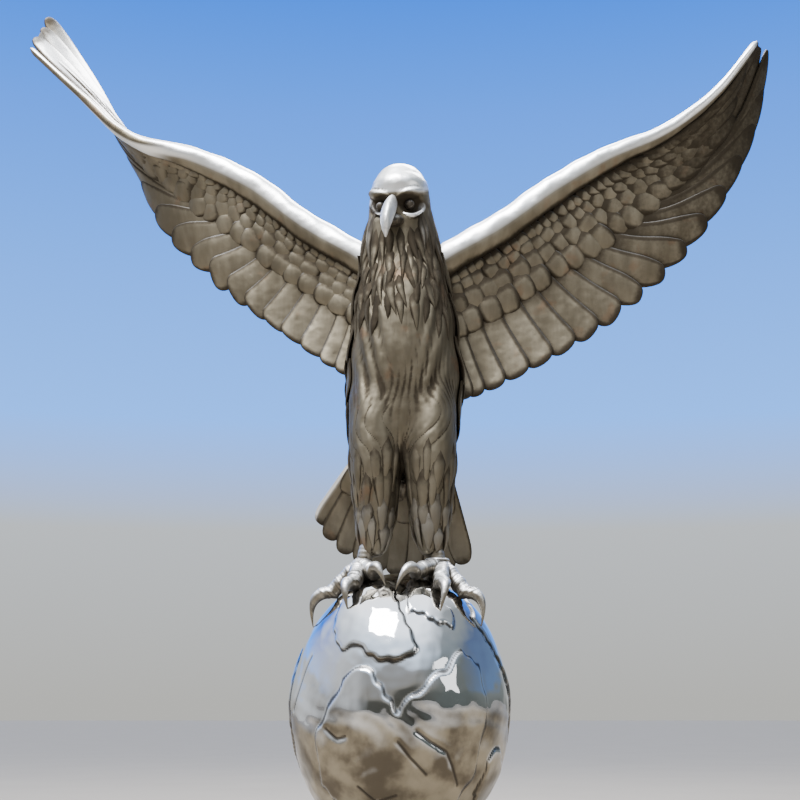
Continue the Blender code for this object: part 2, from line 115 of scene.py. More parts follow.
# Trunk and thigh sections, as shares: centre, half width, half depth
TRUNK = (
    (0.010, 0.096, 0.190, 0.030, 0.030),
    (0.012, 0.066, 0.240, 0.071, 0.070),
    (0.012, 0.045, 0.296, 0.107, 0.092),
    (0.008, 0.028, 0.366, 0.126, 0.106),
    (0.011, 0.014, 0.461, 0.130, 0.118),
    (0.010, 0.006, 0.558, 0.122, 0.121),
    (0.007, 0.006, 0.658, 0.111, 0.110),
    (0.005, 0.003, 0.732, 0.099, 0.095),
    (0.001, -0.009, 0.803, 0.089, 0.082),
    (0.000, -0.020, 0.850, 0.078, 0.080),
    (0.000, -0.028, 0.895, 0.075, 0.083),
    (0.000, -0.030, 0.940, 0.064, 0.075),
    (0.000, -0.028, 0.972, 0.044, 0.052),
    (0.000, -0.026, 0.990, 0.006, 0.008),
)
THIGH = (
    (0.062, 0.020, 0.500, 0.040, 0.060),
    (0.067, 0.000, 0.430, 0.056, 0.080),
    (0.066, -0.011, 0.350, 0.060, 0.086),
    (0.064, -0.017, 0.261, 0.061, 0.078),
    (0.063, -0.017, 0.190, 0.053, 0.064),
    (0.063, -0.017, 0.120, 0.044, 0.050),
    (0.065, -0.019, 0.066, 0.034, 0.036),
    (0.068, -0.021, 0.034, 0.024, 0.024),
)
TRUNK_MIDDLE = 0.006

# Swellings of the skin: centre as shares, then radii in metres
TRUNK_SWELLS = {
    "breast": ((0.008, -0.046, 0.585), (0.155, 0.135, 0.360)),
    "belly": ((0.007, -0.010, 0.430), (0.205, 0.148, 0.330)),
}
HEAD_SWELLS = {
    "forehead": ((0.000, -0.046, 0.916), (0.124, 0.122, 0.088)),
    "muzzle": ((-0.014, -0.078, 0.858), (0.052, 0.050, 0.062)),
}

# Depth of the carving: locks of neck and thighs, sweeping lines of the flanks, fine hair
LOCK_DEPTH = 0.0035
SWEEP_DEPTH = 0.009
HAIR_DEPTH = 0.0005

# Rows of locks from the head down: top and bottom height shares, how many go round, width, how far forward
# they go as the cosine of the angle from the front, and how strong a painted highlight they get
MANE_ROWS = (
    (0.880, 0.775, 16, 0.036, 0.25, 0.7),
    (0.850, 0.740, 21, 0.036, 0.75, 0.3),
    (0.815, 0.700, 24, 0.038, 2, 0),
    (0.775, 0.660, 25, 0.040, 2, 0),
    (0.735, 0.620, 25, 0.042, 2, 0),
    (0.690, 0.585, 25, 0.044, 2, 0),
    (0.650, 0.550, 24, 0.046, 2, 0),
)
BACK_ROWS = 8
BACK_COUNT = 9

# Rows of tufts down the thighs: top and bottom height shares, how many go round, how strong the painted
# highlight on their fronts is
TUFT_ROWS = (
    (0.300, 0.165, 11, 0),
    (0.235, 0.115, 11, 0),
    (0.175, 0.075, 10, 0.09),
    (0.125, 0.040, 9, 0.14),
)

# Beak and lower jaw from inside the face to their tips, as shares: point, half width, half height
BEAK = (
    ((-0.014, -0.060, 0.868), 0.012, 0.020),
    ((-0.021, -0.106, 0.855), 0.0140, 0.024),
    ((-0.026, -0.134, 0.833), 0.0170, 0.025),
    ((-0.031, -0.152, 0.804), 0.0150, 0.020),
    ((-0.033, -0.156, 0.779), 0.0095, 0.012),
    ((-0.033, -0.152, 0.759), 0.002, 0.003),
)
JAW = (
    ((-0.004, -0.060, 0.826), 0.026, 0.018),
    ((-0.017, -0.104, 0.820), 0.020, 0.015),
    ((-0.025, -0.130, 0.808), 0.012, 0.010),
    ((-0.028, -0.142, 0.797), 0.003, 0.003),
)
EYES = ((0.023, -0.087, 0.865), (-0.046, -0.076, 0.863))
EYE_RADIUS = 0.021
# The iris as a ring around the look, in degrees
IRIS_FROM = 26
IRIS_TO = 44
SOCKET = np.array([0.050, 0.090, 0.041])
SOCKET_DEPTH = 0.040
SOCKET_INWARD = np.array([0.25, 0.95, 0.05])
CHEEK_RADII = (0.006, 0.012, 0.014, 0.012, 0.006)
CHEEKS = (
    ((0.006, -0.113, 0.836), (0.018, -0.111, 0.829), (0.032, -0.104, 0.831), (0.046, -0.089, 0.846),
     (0.053, -0.074, 0.864)),
    ((-0.070, -0.048, 0.885), (-0.066, -0.063, 0.868), (-0.058, -0.077, 0.853), (-0.046, -0.093, 0.841),
     (-0.034, -0.104, 0.837)),
)
BROW_RADII = (0.014, 0.026, 0.030, 0.026, 0.012)
BROWS = (
    ((-0.010, -0.108, 0.872), (0.008, -0.113, 0.882), (0.028, -0.105, 0.892), (0.050, -0.082, 0.903),
     (0.066, -0.052, 0.914)),
    ((-0.020, -0.106, 0.872), (-0.033, -0.104, 0.880), (-0.048, -0.093, 0.889), (-0.062, -0.070, 0.901),
     (-0.071, -0.042, 0.912)),
)

# Feet, as shares of the globe's half width: where each foot stands and where its claws end
FEET = (
    ((0.335, -0.10), ((-0.04, -0.55), (0.35, -0.66), (0.73, -0.37), (0.32, 0.34))),
    ((-0.315, -0.10), ((-0.13, -0.47), (-0.46, -0.57), (-0.80, -0.08), (-0.30, 0.34))),
)
ANKLE_HEIGHT = 0.046
TOE_RADIUS = 0.029
SHANK_RADIUS = 0.036
# Where along a toe its knuckles lie and its claw starts
KNUCKLES = (0.20, 0.40, 0.57)
CLAW_FROM = 0.62

TAIL_ROOT = (0.012, 0.085, 0.330)
TAIL_TIPS = (
    (-0.196, 0.170, 0.136),
    (-0.168, 0.178, 0.088),
    (-0.116, 0.190, 0.050),
    (-0.062, 0.198, 0.026),
    (-0.008, 0.200, 0.014),
    (0.048, 0.198, 0.014),
    (0.104, 0.190, 0.022),
    (0.156, 0.175, 0.038),
)
TAIL_ROOT_SPREAD = 0.062
TAIL_FEATHERS = 10
# Rows of short feathers over the tail's roots: where along the tail they start and end, and how many
TAIL_COVERT_ROWS = ((0.28, 0.62, 6), (0.10, 0.46, 5), (-0.05, 0.30, 4))

# Coastlines as longitude and latitude in degrees, longitude 0 facing -Y and growing towards +X
LANDS = (
    ((-37, 27), (-32, 25), (-24, 26), (-17, 22), (-7, 20), (1, 19), (4, 21), (8, 25), (6, 32), (3, 38),
     (-6, 60), (-30, 62), (-52, 50), (-46, 36)),
    ((5, 40), (9, 43), (17, 42), (23, 37), (34, 34), (38, 44), (30, 58), (10, 60)),
    ((-36, 2), (-30, 12), (-24, 15), (-17, 18), (-10, 10), (-1, -1), (10, 8), (24, 16), (36, 24), (46, 18),
     (48, 2), (44, -24), (30, -52), (0, -62), (-30, -54), (-50, -30), (-46, -8)),
    ((58, 40), (70, 22), (84, 8), (98, -14), (112, -36), (124, -18), (134, 6), (130, 28), (112, 46),
     (84, 56)),
    ((54, -20), (66, -14), (78, -24), (76, -38), (62, -44), (52, -34)),
    ((150, 50), (168, 30), (186, 14), (206, -6), (222, 2), (236, 22), (228, 42), (204, 58), (174, 62)),
    ((190, -26), (206, -22), (220, -36), (212, -54), (194, -48)),
    ((-104, 34), (-90, 22), (-84, 4), (-92, -18), (-108, -34), (-120, -14), (-124, 10), (-118, 28)),
)

# Folds in the globe's skin, given as the coastlines are
FOLDS = (
    ((-1, -12), (5, -18), (14, -25)),
    ((8, -8), (15, -12), (24, -16), (34, -30)),
    ((-40, -7), (-33, -11), (-28, -10)),
    ((-72, 0), (-64, 14), (-58, 22)),
    ((-24, -30), (-14, -37), (-2, -34)),
    ((150, 10), (166, -4), (172, -22)),
    ((-150, -8), (-138, -20), (-120, -22)),
)

# The room's colour by the sine of the height looked at: behind the bird a pale sweep turning blue, in front
# a dim warm wall, overhead a white ceiling of light
BACKDROP = (
    (0.005, (0.20, 0.20, 0.19)),
    (0.13, (0.23, 0.245, 0.26)),
    (0.21, (0.082, 0.262, 0.740)),
    (0.50, (0.006, 0.098, 0.500)),
    (0.64, (0.50, 0.55, 0.62)),
    (0.85, (0.95, 0.97, 1.0)),
)
FRONT_WALL = (
    (0.0, (0.035, 0.036, 0.032)),
    (0.15, (0.040, 0.040, 0.035)),
    (0.25, (0.110, 0.106, 0.095)),
    (0.45, (0.150, 0.155, 0.160)),
    (0.62, (0.44, 0.52, 0.62)),
    (0.85, (0.84, 0.91, 1.0)),
)

# The room's side cards: the sideways share of the look where each starts and is full, its cover and colour
SIDE_CARDS = (
    (0.32, 0.62, 0.86, (0.050, 0.058, 0.056, 1)),
    (-0.55, -0.85, 0.70, (0.33, 0.34, 0.35, 1)),
)
ROOM_BRIGHTNESS = 3.0

# Lamps: where each hangs, what it aims at, its size and its power in watts
LAMPS = {
    "key": ((-2.0, -3.5, 8.5), (0, 0, 2.2), 4.5, 1500),
    "fill": ((5.5, -4.5, 3.5), (0, 0, 2.0), 3.0, 60),
    "back": ((1.0, 4.0, 8.0), (0, 0, 2.5), 4.0, 600),
}

# The camera looks up from the height of the globe's middle, its tilt in degrees
CAMERA_DISTANCE = 5.4756
CAMERA_HEIGHT = 0.64
CAMERA_TILT = 13.0887

chance = random.Random(7)


def shares(points):
    """Points given as shares of the eagle's height above the top of the globe."""
    return np.array([0, 0, GLOBE_TOP]) + EAGLE_HEIGHT * np.asarray(points, float)


def unit(vectors):
    """Vectors brought to length 1."""
    return vectors / np.maximum(np.linalg.norm(vectors, axis=-1, keepdims=True), 1e-9)


def smooth(low, high, value):
    """0 at low, 1 at high, with an S between them; low may be the larger."""
    t = np.clip((value - low) / (high - low), 0, 1)
    return t * t * (3 - 2 * t)


def bell(offset, width):
    """1 at no offset, fading to nothing within about twice the width."""
    return np.exp(-((offset / width) ** 2))


def power(value, exponent):
    """A power that keeps the sign: below 1 it squares a round section."""
    return np.sign(value) * np.abs(value) ** exponent


def catmull(nodes, share):
    """Points at shares of a smooth curve through evenly spaced nodes."""
    nodes = np.asarray(nodes, float)
    spans = len(nodes) - 1
    at = np.clip(np.asarray(share, float), 0, 1) * spans
    i = np.minimum(at.astype(int), spans - 1)
    t = (at - i)[..., None]
    p0, p1, p2, p3 = (nodes[np.clip(i + k, 0, spans)] for k in (-1, 0, 1, 2))
    bend_in = 2 * p0 - 5 * p1 + 4 * p2 - p3
    bend_out = 3 * p1 - p0 - 3 * p2 + p3
    return 0.5 * (2 * p1 + (p2 - p0) * t + bend_in * t**2 + bend_out * t**3)


def select_only(things):
    """Select just these objects, the first one active."""
    bpy.ops.object.select_all(action="DESELECT")
    for thing in things:
        thing.select_set(True)
    bpy.context.view_layer.objects.active = things[0]


def primitive(add, name, **shape):
    """A new basic form at the origin, active and under its own name."""
    bpy.ops.object.select_all(action="DESELECT")
    add(location=(0, 0, 0), **shape)
    piece = bpy.context.object
    piece.name = name
    return piece


def rod(sides, rings):
    """A round bar of unit radius and length on Z, cut into rings: the blank for the long forms."""
    blank = primitive(bpy.ops.mesh.primitive_cylinder_add, "blank", vertices=sides, radius=1, depth=1)
    mesh = blank.data
    bpy.ops.object.mode_set(mode="EDIT")
    bpy.ops.mesh.select_mode(type="EDGE")
    bpy.ops.mesh.select_all(action="DESELECT")
    bpy.ops.object.mode_set(mode="OBJECT")
    for edge in mesh.edges:
        low, high = (mesh.vertices[v].co.z for v in edge.vertices)
        edge.select = abs(high - low) > 0.5
    bpy.ops.object.mode_set(mode="EDIT")
    bpy.ops.mesh.subdivide(number_cuts=rings - 1)
    bpy.ops.mesh.select_all(action="SELECT")
    bpy.ops.transform.translate(value=(0, 0, 0.5))
    bpy.ops.object.mode_set(mode="OBJECT")
    bpy.data.objects.remove(blank)
    return mesh


def read_points(mesh):
    """The mesh's points and their normals."""
    flat = np.empty(len(mesh.vertices) * 3)
    mesh.vertices.foreach_get("co", flat)
    normals = np.empty(len(mesh.vertices) * 3)
    mesh.vertex_normals.foreach_get("vector", normals)
    return flat.reshape(-1, 3), normals.reshape(-1, 3)


def write_points(mesh, points):
    """Move the mesh's points."""
    mesh.vertices.foreach_set("co", np.ascontiguousarray(points, dtype=np.float32).ravel())
    mesh.update()


def write_mark(mesh, name, values):
    """A number at each vertex for the materials: painted shade in the crevices along with some dirt, or a
    painted highlight.
    """
    mark = mesh.attributes.get(name) or mesh.attributes.new(name, "FLOAT", "POINT")
    mark.data.foreach_set("value", np.ascontiguousarray(values, dtype=np.float32))


def bend(name, blank, place):
    """A copy of a blank with each point moved to where place(along, angle) says, with the marks it gives."""
    mesh = blank.copy()
    flat = np.empty(len(mesh.vertices) * 3)
    mesh.vertices.foreach_get("co", flat)
    x, y, z = flat.reshape(-1, 3).T
    points, *marks = place(z, np.arctan2(y, x))
    write_points(mesh, points)
    for mark, values in zip(("grime_and_shade", "painted_highlight"), marks):
        write_mark(mesh, mark, np.broadcast_to(values, len(z)))
    piece = bpy.data.objects.new(name, mesh)
    bpy.context.scene.collection.objects.link(piece)
    return piece


def join(name, things, angle=40):
    """One piece of several, faces outward, shaded smooth up to an angle in degrees."""
    select_only(things)
    if len(things) > 1:
        bpy.ops.object.join()
    piece = bpy.context.object
    piece.name = name
    bpy.ops.object.mode_set(mode="EDIT")
    bpy.ops.mesh.select_all(action="SELECT")
    bpy.ops.mesh.normals_make_consistent(inside=False)
    bpy.ops.object.mode_set(mode="OBJECT")
    bpy.ops.object.shade_smooth_by_angle(angle=math.radians(angle))
    return piece


def path_frame(nodes, share, up, step=0.01):
    """The centre, the sideways and the upward directions at shares of a path, given a wanted upward one."""
    centre = catmull(nodes, share)
    ahead = unit(catmull(nodes, np.minimum(share + step, 1)) - catmull(nodes, np.maximum(share - step, 0)))
    side = unit(np.cross(up, ahead))
    return centre, side, unit(np.cross(ahead, side))


class Cut:
    """How a feather is cut: its blank, where its round end starts, how pointed and how square it is."""

    def __init__(self, sides, rings, round_from, root, point=2.0, squareness=0.75, ridge=0.0):
        self.blank = rod(sides, rings)
        self.round_from = round_from
        self.root = root
        self.point = point
        self.squareness = squareness
        self.ridge = ridge

    def width(self, t):
        """Share of the full width at a share of the length."""
        past = np.clip((t - self.round_from) / (1 - self.round_from), 0, 1)
        grown = self.root + (1 - self.root) * smooth(0, max(self.round_from, 0.3), t)
        rounding = 1 / self.point if self.point >= 2 else 1
        return grown * np.maximum(1 - past**self.point, 0.0004) ** rounding


def feather(name, cut, nodes, normals, half_width, thickness, twist=0.0, dome=0.0, dirt=0.0, painted_highlight=0.0, rim=0):
    """A feather laid along nodes, its back to the normals; rim says which of its edges gets a painted
    highlight.
    """

    def place(z, angle):
        # The rings crowd towards the round end
        t = 1 - (1 - z) ** 1.5
        centre, side, up = path_frame(nodes, t, catmull(normals, t))
        width = cut.width(t)
        x = power(np.cos(angle), cut.squareness)
        y = power(np.sin(angle), cut.squareness)
        depth = thickness / 2 * (1 - 0.35 * smooth(0.6, 1.0, t)) * np.minimum(1, 0.25 + width)
        rise = depth * y + dome * half_width * width * (1 - x**2)
        rise = rise + cut.ridge * bell(x, QUILL_WIDTH) * (1 - t) ** 0.5 * np.sign(y)
        c, s = math.cos(twist), math.sin(twist)
        sideways = half_width * width * x
        points = centre + side * (c * sideways - s * rise)[:, None] + up * (s * sideways + c * rise)[:, None]
        # The rim edge gets a painted highlight; the edges, tip and root are darkened as painted shade where
        # neighbours overlap, on top of the dirt and painted shade passed in
        lit_rim = abs(rim) * smooth(0.62, 0.80, x * rim)
        edge = 0.9 * smooth(0.62, 0.96, np.abs(x)) * (1 - lit_rim)
        ends = 0.9 * smooth(0.86, 1.0, t) + 0.8 * smooth(0.45, 0.15, t) * (1 - painted_highlight)
        grime_and_shade = np.clip(np.maximum(edge, ends) + dirt, 0, 1)
        return points, grime_and_shade, np.maximum(painted_highlight * (1 - t), lit_rim)

    return bend(name, cut.blank, place)


class Wing:
    """A curved sheet from a leading edge to a trailing edge, on one side of the bird."""

    def __init__(self, name, stations, side, shade, overlap, turns_at):
        self.name = name
        self.side = side
        self.shade = shade
        self.overlap = overlap
        self.turns_at = turns_at
        self.leading = shares([lead for lead, _ in stations])
        self.trailing = shares([trail for _, trail in stations])

    def edges(self, along):
        return catmull(self.leading, along), catmull(self.trailing, along)

    def dorsal(self, along, step=0.01):
        """The direction that the wing's upper face looks in."""
        along = np.asarray(along, float)
        lead, trail = self.edges(along)
        ahead = (catmull(self.leading, np.minimum(along + step, 1))
                 - catmull(self.leading, np.maximum(along - step, 0)))
        return unit(self.side * np.cross(ahead, trail - lead))

    def at(self, along, across):
        """Points of the sheet: across is 0 at the leading edge and 1 at the feather tips."""
        along, across = np.asarray(along, float), np.asarray(across, float)
        lead, trail = self.edges(along)
        chord = trail - lead
        length = np.linalg.norm(chord, axis=-1)
        bulge = WING_CAMBER * length * 4 * across * (1 - across)
        return lead + chord * across[..., None] + self.dorsal(along) * bulge[..., None]

    def nose(self, along):
        """Radius of the rounded front edge."""
        return EAGLE_HEIGHT * np.interp(along, np.linspace(0, 1, len(NOSE_SHARES)), NOSE_SHARES)

    def lay(self, label, cut, root, tip, half_width, thickness, lift=0.0, face=1, bow=1.0, **looks):
        """A feather between two places given as (along, across), swelling off the sheet on one face."""
        t = np.linspace(0, 1, 7)
        along = root[0] + (tip[0] - root[0]) * t
        across = root[1] + (tip[1] - root[1]) * t**bow
        normals = self.dorsal(along) * face
        proud = 0.004 + lift * np.sin(np.pi * (0.12 + 0.80 * t))
        nodes = self.at(along, across) + normals * proud[:, None]
        return feather(f"{self.name}_{label}", cut, nodes, normals, half_width, thickness, **looks)

    def flights(self, cut, primary_cut, count):
        """The long feathers that scallop the trailing edge, and the two fingers at the wing's point."""
        on_edge = count - len(FINGER_TIPS)
        share = np.append(np.linspace(0, 1, on_edge), np.ones(len(FINGER_TIPS)))
        along = FIRST + (1 - FIRST) * share**1.25
        along[-2] -= 0.008
        tip_across = np.append(np.ones(on_edge), FINGER_TIPS)
        root_across = np.append(0.36 - 0.10 * share[:on_edge] ** 3, FINGER_ROOTS)
        tips = self.at(along, tip_across)
        made = []
        for k in range(count):
            root = (along[k] - 0.03 - 0.36 * share[k] ** 2.1, root_across[k])
            last = on_edge - 1
            pitch = (tips[min(k + 1, last)] - tips[max(min(k, last) - 1, 0)]) / 2
            ahead = unit(tips[k] - self.at(*root))
            narrowest = NARROWEST_PRIMARY if k > count - 5 else NARROWEST_FLIGHT
            width = min(max(np.linalg.norm(np.cross(pitch, ahead)), narrowest), WIDEST_FLIGHT)
            made.append(self.lay(f"flight_{k}", cut if share[k] < 0.5 else primary_cut, root,
                                 (along[k], tip_across[k]), width * self.overlap, FLIGHT_THICKNESS,
                                 bow=1 - 0.45 * smooth(0.3, 0.9, share[k]), twist=self.side * math.radians(6),
                                 dirt=self.dirt(along[k])))
        return made

    def coverts(self, cut, face):
        """Rows of rounded plates from the front edge back, small ones first."""
        made = []
        for row, (tip_across, reach, width, end) in enumerate(COVERT_ROWS):
            marks = np.linspace(FIRST * 0.75, end, 200)
            edge = self.at(marks, np.full(200, tip_across))
            travelled = np.append(0, np.cumsum(np.linalg.norm(np.diff(edge, axis=0), axis=1)))
            pitch = width * 0.90
            for k in range(int(travelled[-1] / pitch)):
                run = pitch * (k + 0.25 + 0.5 * (row % 2) + chance.uniform(-0.16, 0.16))
                along = float(np.interp(run, travelled, marks))
                slant = 0.010 + 0.20 * along**3
                taper = 1 - 0.35 * along**3
                wobble = chance.uniform(-0.022, 0.022)
                root = (along - slant, max(tip_across - reach * taper, 0.08))
                half_width = width * chance.uniform(0.86, 1.12) * taper * 0.59
                made.append(self.lay(f"covert_{row}_{k}", cut, root, (along, tip_across + wobble), half_width,
                                     COVERT_THICKNESS, lift=0.014, face=face, dome=0.10,
                                     twist=math.radians(chance.uniform(-7, 7)),
                                     dirt=chance.uniform(-0.05, 0.12) + self.dirt(along)))
        return made

    def dirt(self, along):
        """Painted shade on the feathers, heavier towards the wing's point."""
        return self.shade[0] + (self.shade[1] - self.shade[0]) * smooth(0.45, 0.85, along)

    def roll(self):
        """The arm's rounded front edge, unevenly beaten, with a painted highlight on its forward half and
        painted shade on its back; past where the wing turns, the front strip is painted as shade.
        """

        def place(z, angle):
            along = z * 0.999
            lead, trail = self.edges(along)
            chord = unit(trail - lead)
            dorsal = self.dorsal(along)
            beaten = 0.02 * np.sin(along * 90 + angle * 2) + 0.02 * np.sin(along * 47 - angle * 3)
            radius = self.nose(along) * (1 - 0.85 * smooth(0.985, 1.0, z)) * (1 + beaten)
            across, up = power(np.cos(angle), 0.9), 0.78 * power(np.sin(angle), 0.9)
            points = lead + chord * (radius * across)[:, None] + dorsal * (radius * up)[:, None]
            turned = smooth(self.turns_at, self.turns_at + 0.08, along)
            forward = -np.cos(angle)
            # Painted highlight on the forward half; painted shade on the back half and, past the turn, on the
            # front strip
            painted_highlight = (1 - turned) * smooth(-0.22, 0.12, forward) + turned * smooth(0.80, 0.45, forward)
            painted_shade = 0.75 * smooth(0.55, 1.0, -forward) + 0.35 * turned * smooth(0.55, 0.85, forward)
            return points, painted_shade + 0.05, painted_highlight

        return bend(f"{self.name}_roll", rod(36, 110), place)

    def membrane(self):
        """The thin sheet that the feathers lie on."""

        def place(z, angle):
            along = z * 0.99
            across = 0.34 + 0.30 * np.cos(angle) * (1 - 0.25 * smooth(0.75, 1, z))
            thickness = 0.005 * np.sin(angle)
            # The sheet is painted dark throughout: painted shade seen between the feathers
            return self.at(along, across) + self.dorsal(along) * thickness[:, None], 0.9

        return bend(f"{self.name}_membrane", rod(20, 70), place)

    def build(self, flight_cut, primary_cut, covert_cut, count):
        made = [self.roll(), self.membrane(), *self.flights(flight_cut, primary_cut, count)]
        made += self.coverts(covert_cut, -1) + self.coverts(covert_cut, 1)
        return join(self.name, made, 60)


def lofted(name, table, sides, rings, mirror=1, middle=0.0):
    """A body form through upright elliptical sections given as shares."""
    table = np.array(table, float)
    nodes = shares(np.column_stack([middle + mirror * table[:, 0], table[:, 1], table[:, 2]]))
    half_axes = table[:, 3:5] * EAGLE_HEIGHT

    def place(z, angle):
        half_width, half_depth = catmull(half_axes, z).T
        offset = np.column_stack([half_width * np.cos(angle), half_depth * np.sin(angle), np.zeros(len(z))])
        return catmull(nodes, z) + offset, 0.0

    return bend(name, rod(sides, rings), place)


def bar(name, nodes, radii, flat):
    """A bar along nodes, its half width given at each, flattened by a factor."""
    radii = np.column_stack([radii, radii])

    def place(z, angle):
        centre, side, top = path_frame(nodes, z, np.array([0, 0, 1.0]))
        radius = catmull(radii, z)[:, 0]
        sideways, upward = radius * np.cos(angle), radius * np.sin(angle) * flat
        return centre + side * sideways[:, None] + top * upward[:, None], 0.0

    return bend(name, rod(16, 24), place)


def lump(name, centre, radii):
    """An ellipsoid."""
    piece = primitive(bpy.ops.mesh.primitive_uv_sphere_add, name, segments=32, ring_count=20, radius=1)
    piece.scale = radii
    piece.location = centre
    bpy.ops.object.transform_apply(location=True, rotation=True, scale=True)
    return piece


def hollows(mesh, points, normals):
    """How hollow the surface is at each point: positive in a groove, negative on a ridge, in metres."""
    edges = np.empty(len(mesh.edges) * 2, dtype=np.int32)
    mesh.edges.foreach_get("vertices", edges)
    a, b = edges.reshape(-1, 2).T
    total = np.zeros_like(points)
    count = np.zeros(len(points))
    for one, other in ((a, b), (b, a)):
        np.add.at(total, one, points[other])
        np.add.at(count, one, 1)
    return np.einsum("ij,ij->i", total / np.maximum(count, 1)[:, None] - points, normals)


def soften_skin(piece, grain, rounds):
    """Grow joined forms together into one even skin."""
    select_only([piece])
    remesh = piece.modifiers.new("grow_together", "REMESH")
    remesh.mode = "VOXEL"
    remesh.voxel_size = grain
    bpy.ops.object.modifier_apply(modifier=remesh.name)
    soften = piece.modifiers.new("soften", "SMOOTH")
    soften.factor = 0.5
    soften.iterations = rounds
    bpy.ops.object.modifier_apply(modifier=soften.name)


def height_share(points):
    """Height over the globe's top as a share of the eagle's height."""
    return (points[:, 2] - GLOBE_TOP) / EAGLE_HEIGHT


def near_eye(points, eye, sharpness):
    """1 in an eye's socket, fading out past its edge."""
    away = (points - shares(eye)) / SOCKET
    return np.exp(-(np.sum(away**2, axis=1) ** sharpness))


def carving(points):
    """How far the body's skin is driven out or in: long flowing locks, sweeping lines on the flanks."""
    height = height_share(points)
    turn = np.arctan2(points[:, 1] - 0.02, points[:, 0] - 0.012)
    sway = 0.20 * np.sin(height * 17 + 2 * turn) + 0.10 * np.sin(height * 41 - 3 * turn)
    locks = np.abs(np.sin((turn + sway) * 11)) ** 0.7 - 0.6
    fine = np.sin((turn + 0.6 * sway) * 47 + 3 * np.sin(height * 30))
    thighs = smooth(0.42, 0.30, height)
    front = np.clip(-np.sin(turn), 0, 1)
    flank = smooth(0.80, 0.70, height) * smooth(0.33, 0.45, height) * (1 - 0.75 * smooth(0.84, 1, front))
    aside = np.sqrt(np.cos(turn) ** 2 + 0.02)
    sweep = np.sin(height * 24 - 10 * aside + 1.2 * np.sin(3 * turn + 0.6)) ** 2 - 0.5
    neck = smooth(0.60, 0.68, height) * smooth(0.83, 0.78, height)
    driven = LOCK_DEPTH * locks * np.maximum(thighs, 0.7 * neck) + SWEEP_DEPTH * sweep * flank
    return driven + HAIR_DEPTH * fine * smooth(0.84, 0.78, height)


def paint_shade_and_highlights(mesh):
    """The body's painted light: painted shade in its grooves and eye sockets, a painted shadow under the
    brows and painted shade across the hips; painted highlights on crown and cheeks.
    """
    points, normals = read_points(mesh)
    height = height_share(points)
    # Painted shade in the grooves
    grime_and_shade = np.clip(0.12 + hollows(mesh, points, normals) / 0.0006, 0, 1)
    # Painted shade in the eye sockets
    for eye in EYES:
        grime_and_shade = np.maximum(grime_and_shade, 0.95 * near_eye(points, eye, 2))
    ahead = smooth(-0.04, -0.10, points[:, 1])
    # Painted shadow under the brows
    grime_and_shade = np.clip(grime_and_shade + 0.6 * (bell(height - 0.871, 0.014) * ahead), 0, 1)
    # Painted shade across the front of the hips
    grime_and_shade = np.clip(grime_and_shade + 0.45 * bell(height - 0.41, 0.06) * smooth(0, -0.1, points[:, 1]), 0, 1)
    # Painted highlight over the crown down to the brows, and along the cheek ridges
    hairline = 0.878 + 0.008 * ahead + 0.022 * smooth(-0.19, -0.10, points[:, 1]) * ahead
    painted_highlight = smooth(hairline, hairline + 0.055 - 0.045 * ahead, height)
    for cheek in CHEEKS:
        ridge = catmull(shares(cheek), np.linspace(0, 1, 20))
        gap = np.min(np.linalg.norm(points[:, None] - ridge[None], axis=2), axis=1)
        painted_highlight = np.maximum(painted_highlight, smooth(0.020, 0.010, gap))
    write_mark(mesh, "grime_and_shade", grime_and_shade)
    write_mark(mesh, "painted_highlight", painted_highlight)


def build_body():
    """Trunk, head and thighs grown together into one skin, then carved."""
    parts = [lofted("trunk", TRUNK, 48, 90)]
    parts += [lofted("thigh", THIGH, 32, 50, mirror, TRUNK_MIDDLE) for mirror in (1, -1)]
    parts += [lump(name, shares(centre), radii) for name, (centre, radii) in TRUNK_SWELLS.items()]
    body = join("body", parts)
    soften_skin(body, 0.0075, 60)
    parts = [body]
    parts += [bar("brow", shares(brow) + (0, 0.016, 0), BROW_RADII, 0.75) for brow in BROWS]
    parts += [bar("cheek", shares(cheek), CHEEK_RADII, 0.8) for cheek in CHEEKS]
    parts += [lump(name, shares(centre), radii) for name, (centre, radii) in HEAD_SWELLS.items()]
    body = join("body", parts)
    soften_skin(body, 0.0062, 7)
    points, normals = read_points(body.data)
    for eye in EYES:
        points = points + SOCKET_INWARD * (SOCKET_DEPTH * near_eye(points, eye, 1.6))[:, None]
    write_points(body.data, points + normals * carving(points)[:, None])
    paint_shade_and_highlights(body.data)
    bpy.ops.object.shade_smooth()
    return body


class Skin:
    """The body's surface, to lay feathers on."""

    def __init__(self, body):
        mesh = body.data
        mesh.calc_loop_triangles()
        corners = [tuple(triangle.vertices) for triangle in mesh.loop_triangles]
        self.tree = BVHTree.FromPolygons([v.co for v in mesh.vertices], corners)

    def spine(self, points, lift):
        """Nodes on the skin nearest to the points, each lifted off it, and the evened normals there."""
        nodes, normals = [], []
        for point, rise in zip(points, lift):
            spot, normal, _, _ = self.tree.find_nearest(Vector(point))
            nodes.append(np.array(spot) + np.array(normal) * rise)
            normals.append(np.array(normal))
        normals = unit(np.array(normals))
        for _ in range(2):
            normals[1:-1] = unit(normals[:-2] + 2 * normals[1:-1] + normals[2:])
        return np.array(nodes), normals


def outside(table, height, angle, swell, mirror=1, middle=0.0):
    """A point on a lofted form at a height share and an angle, 0 at the bird's left, -90 degrees in front."""
    table = np.array(table)
    table = table[np.argsort(table[:, 2])]
    x, y, half_width, half_depth = (np.interp(height, table[:, 2], table[:, k]) for k in (0, 1, 3, 4))
    return shares((middle + mirror * x + swell * half_width * math.cos(angle),
                   y + swell * half_depth * math.sin(angle), height))


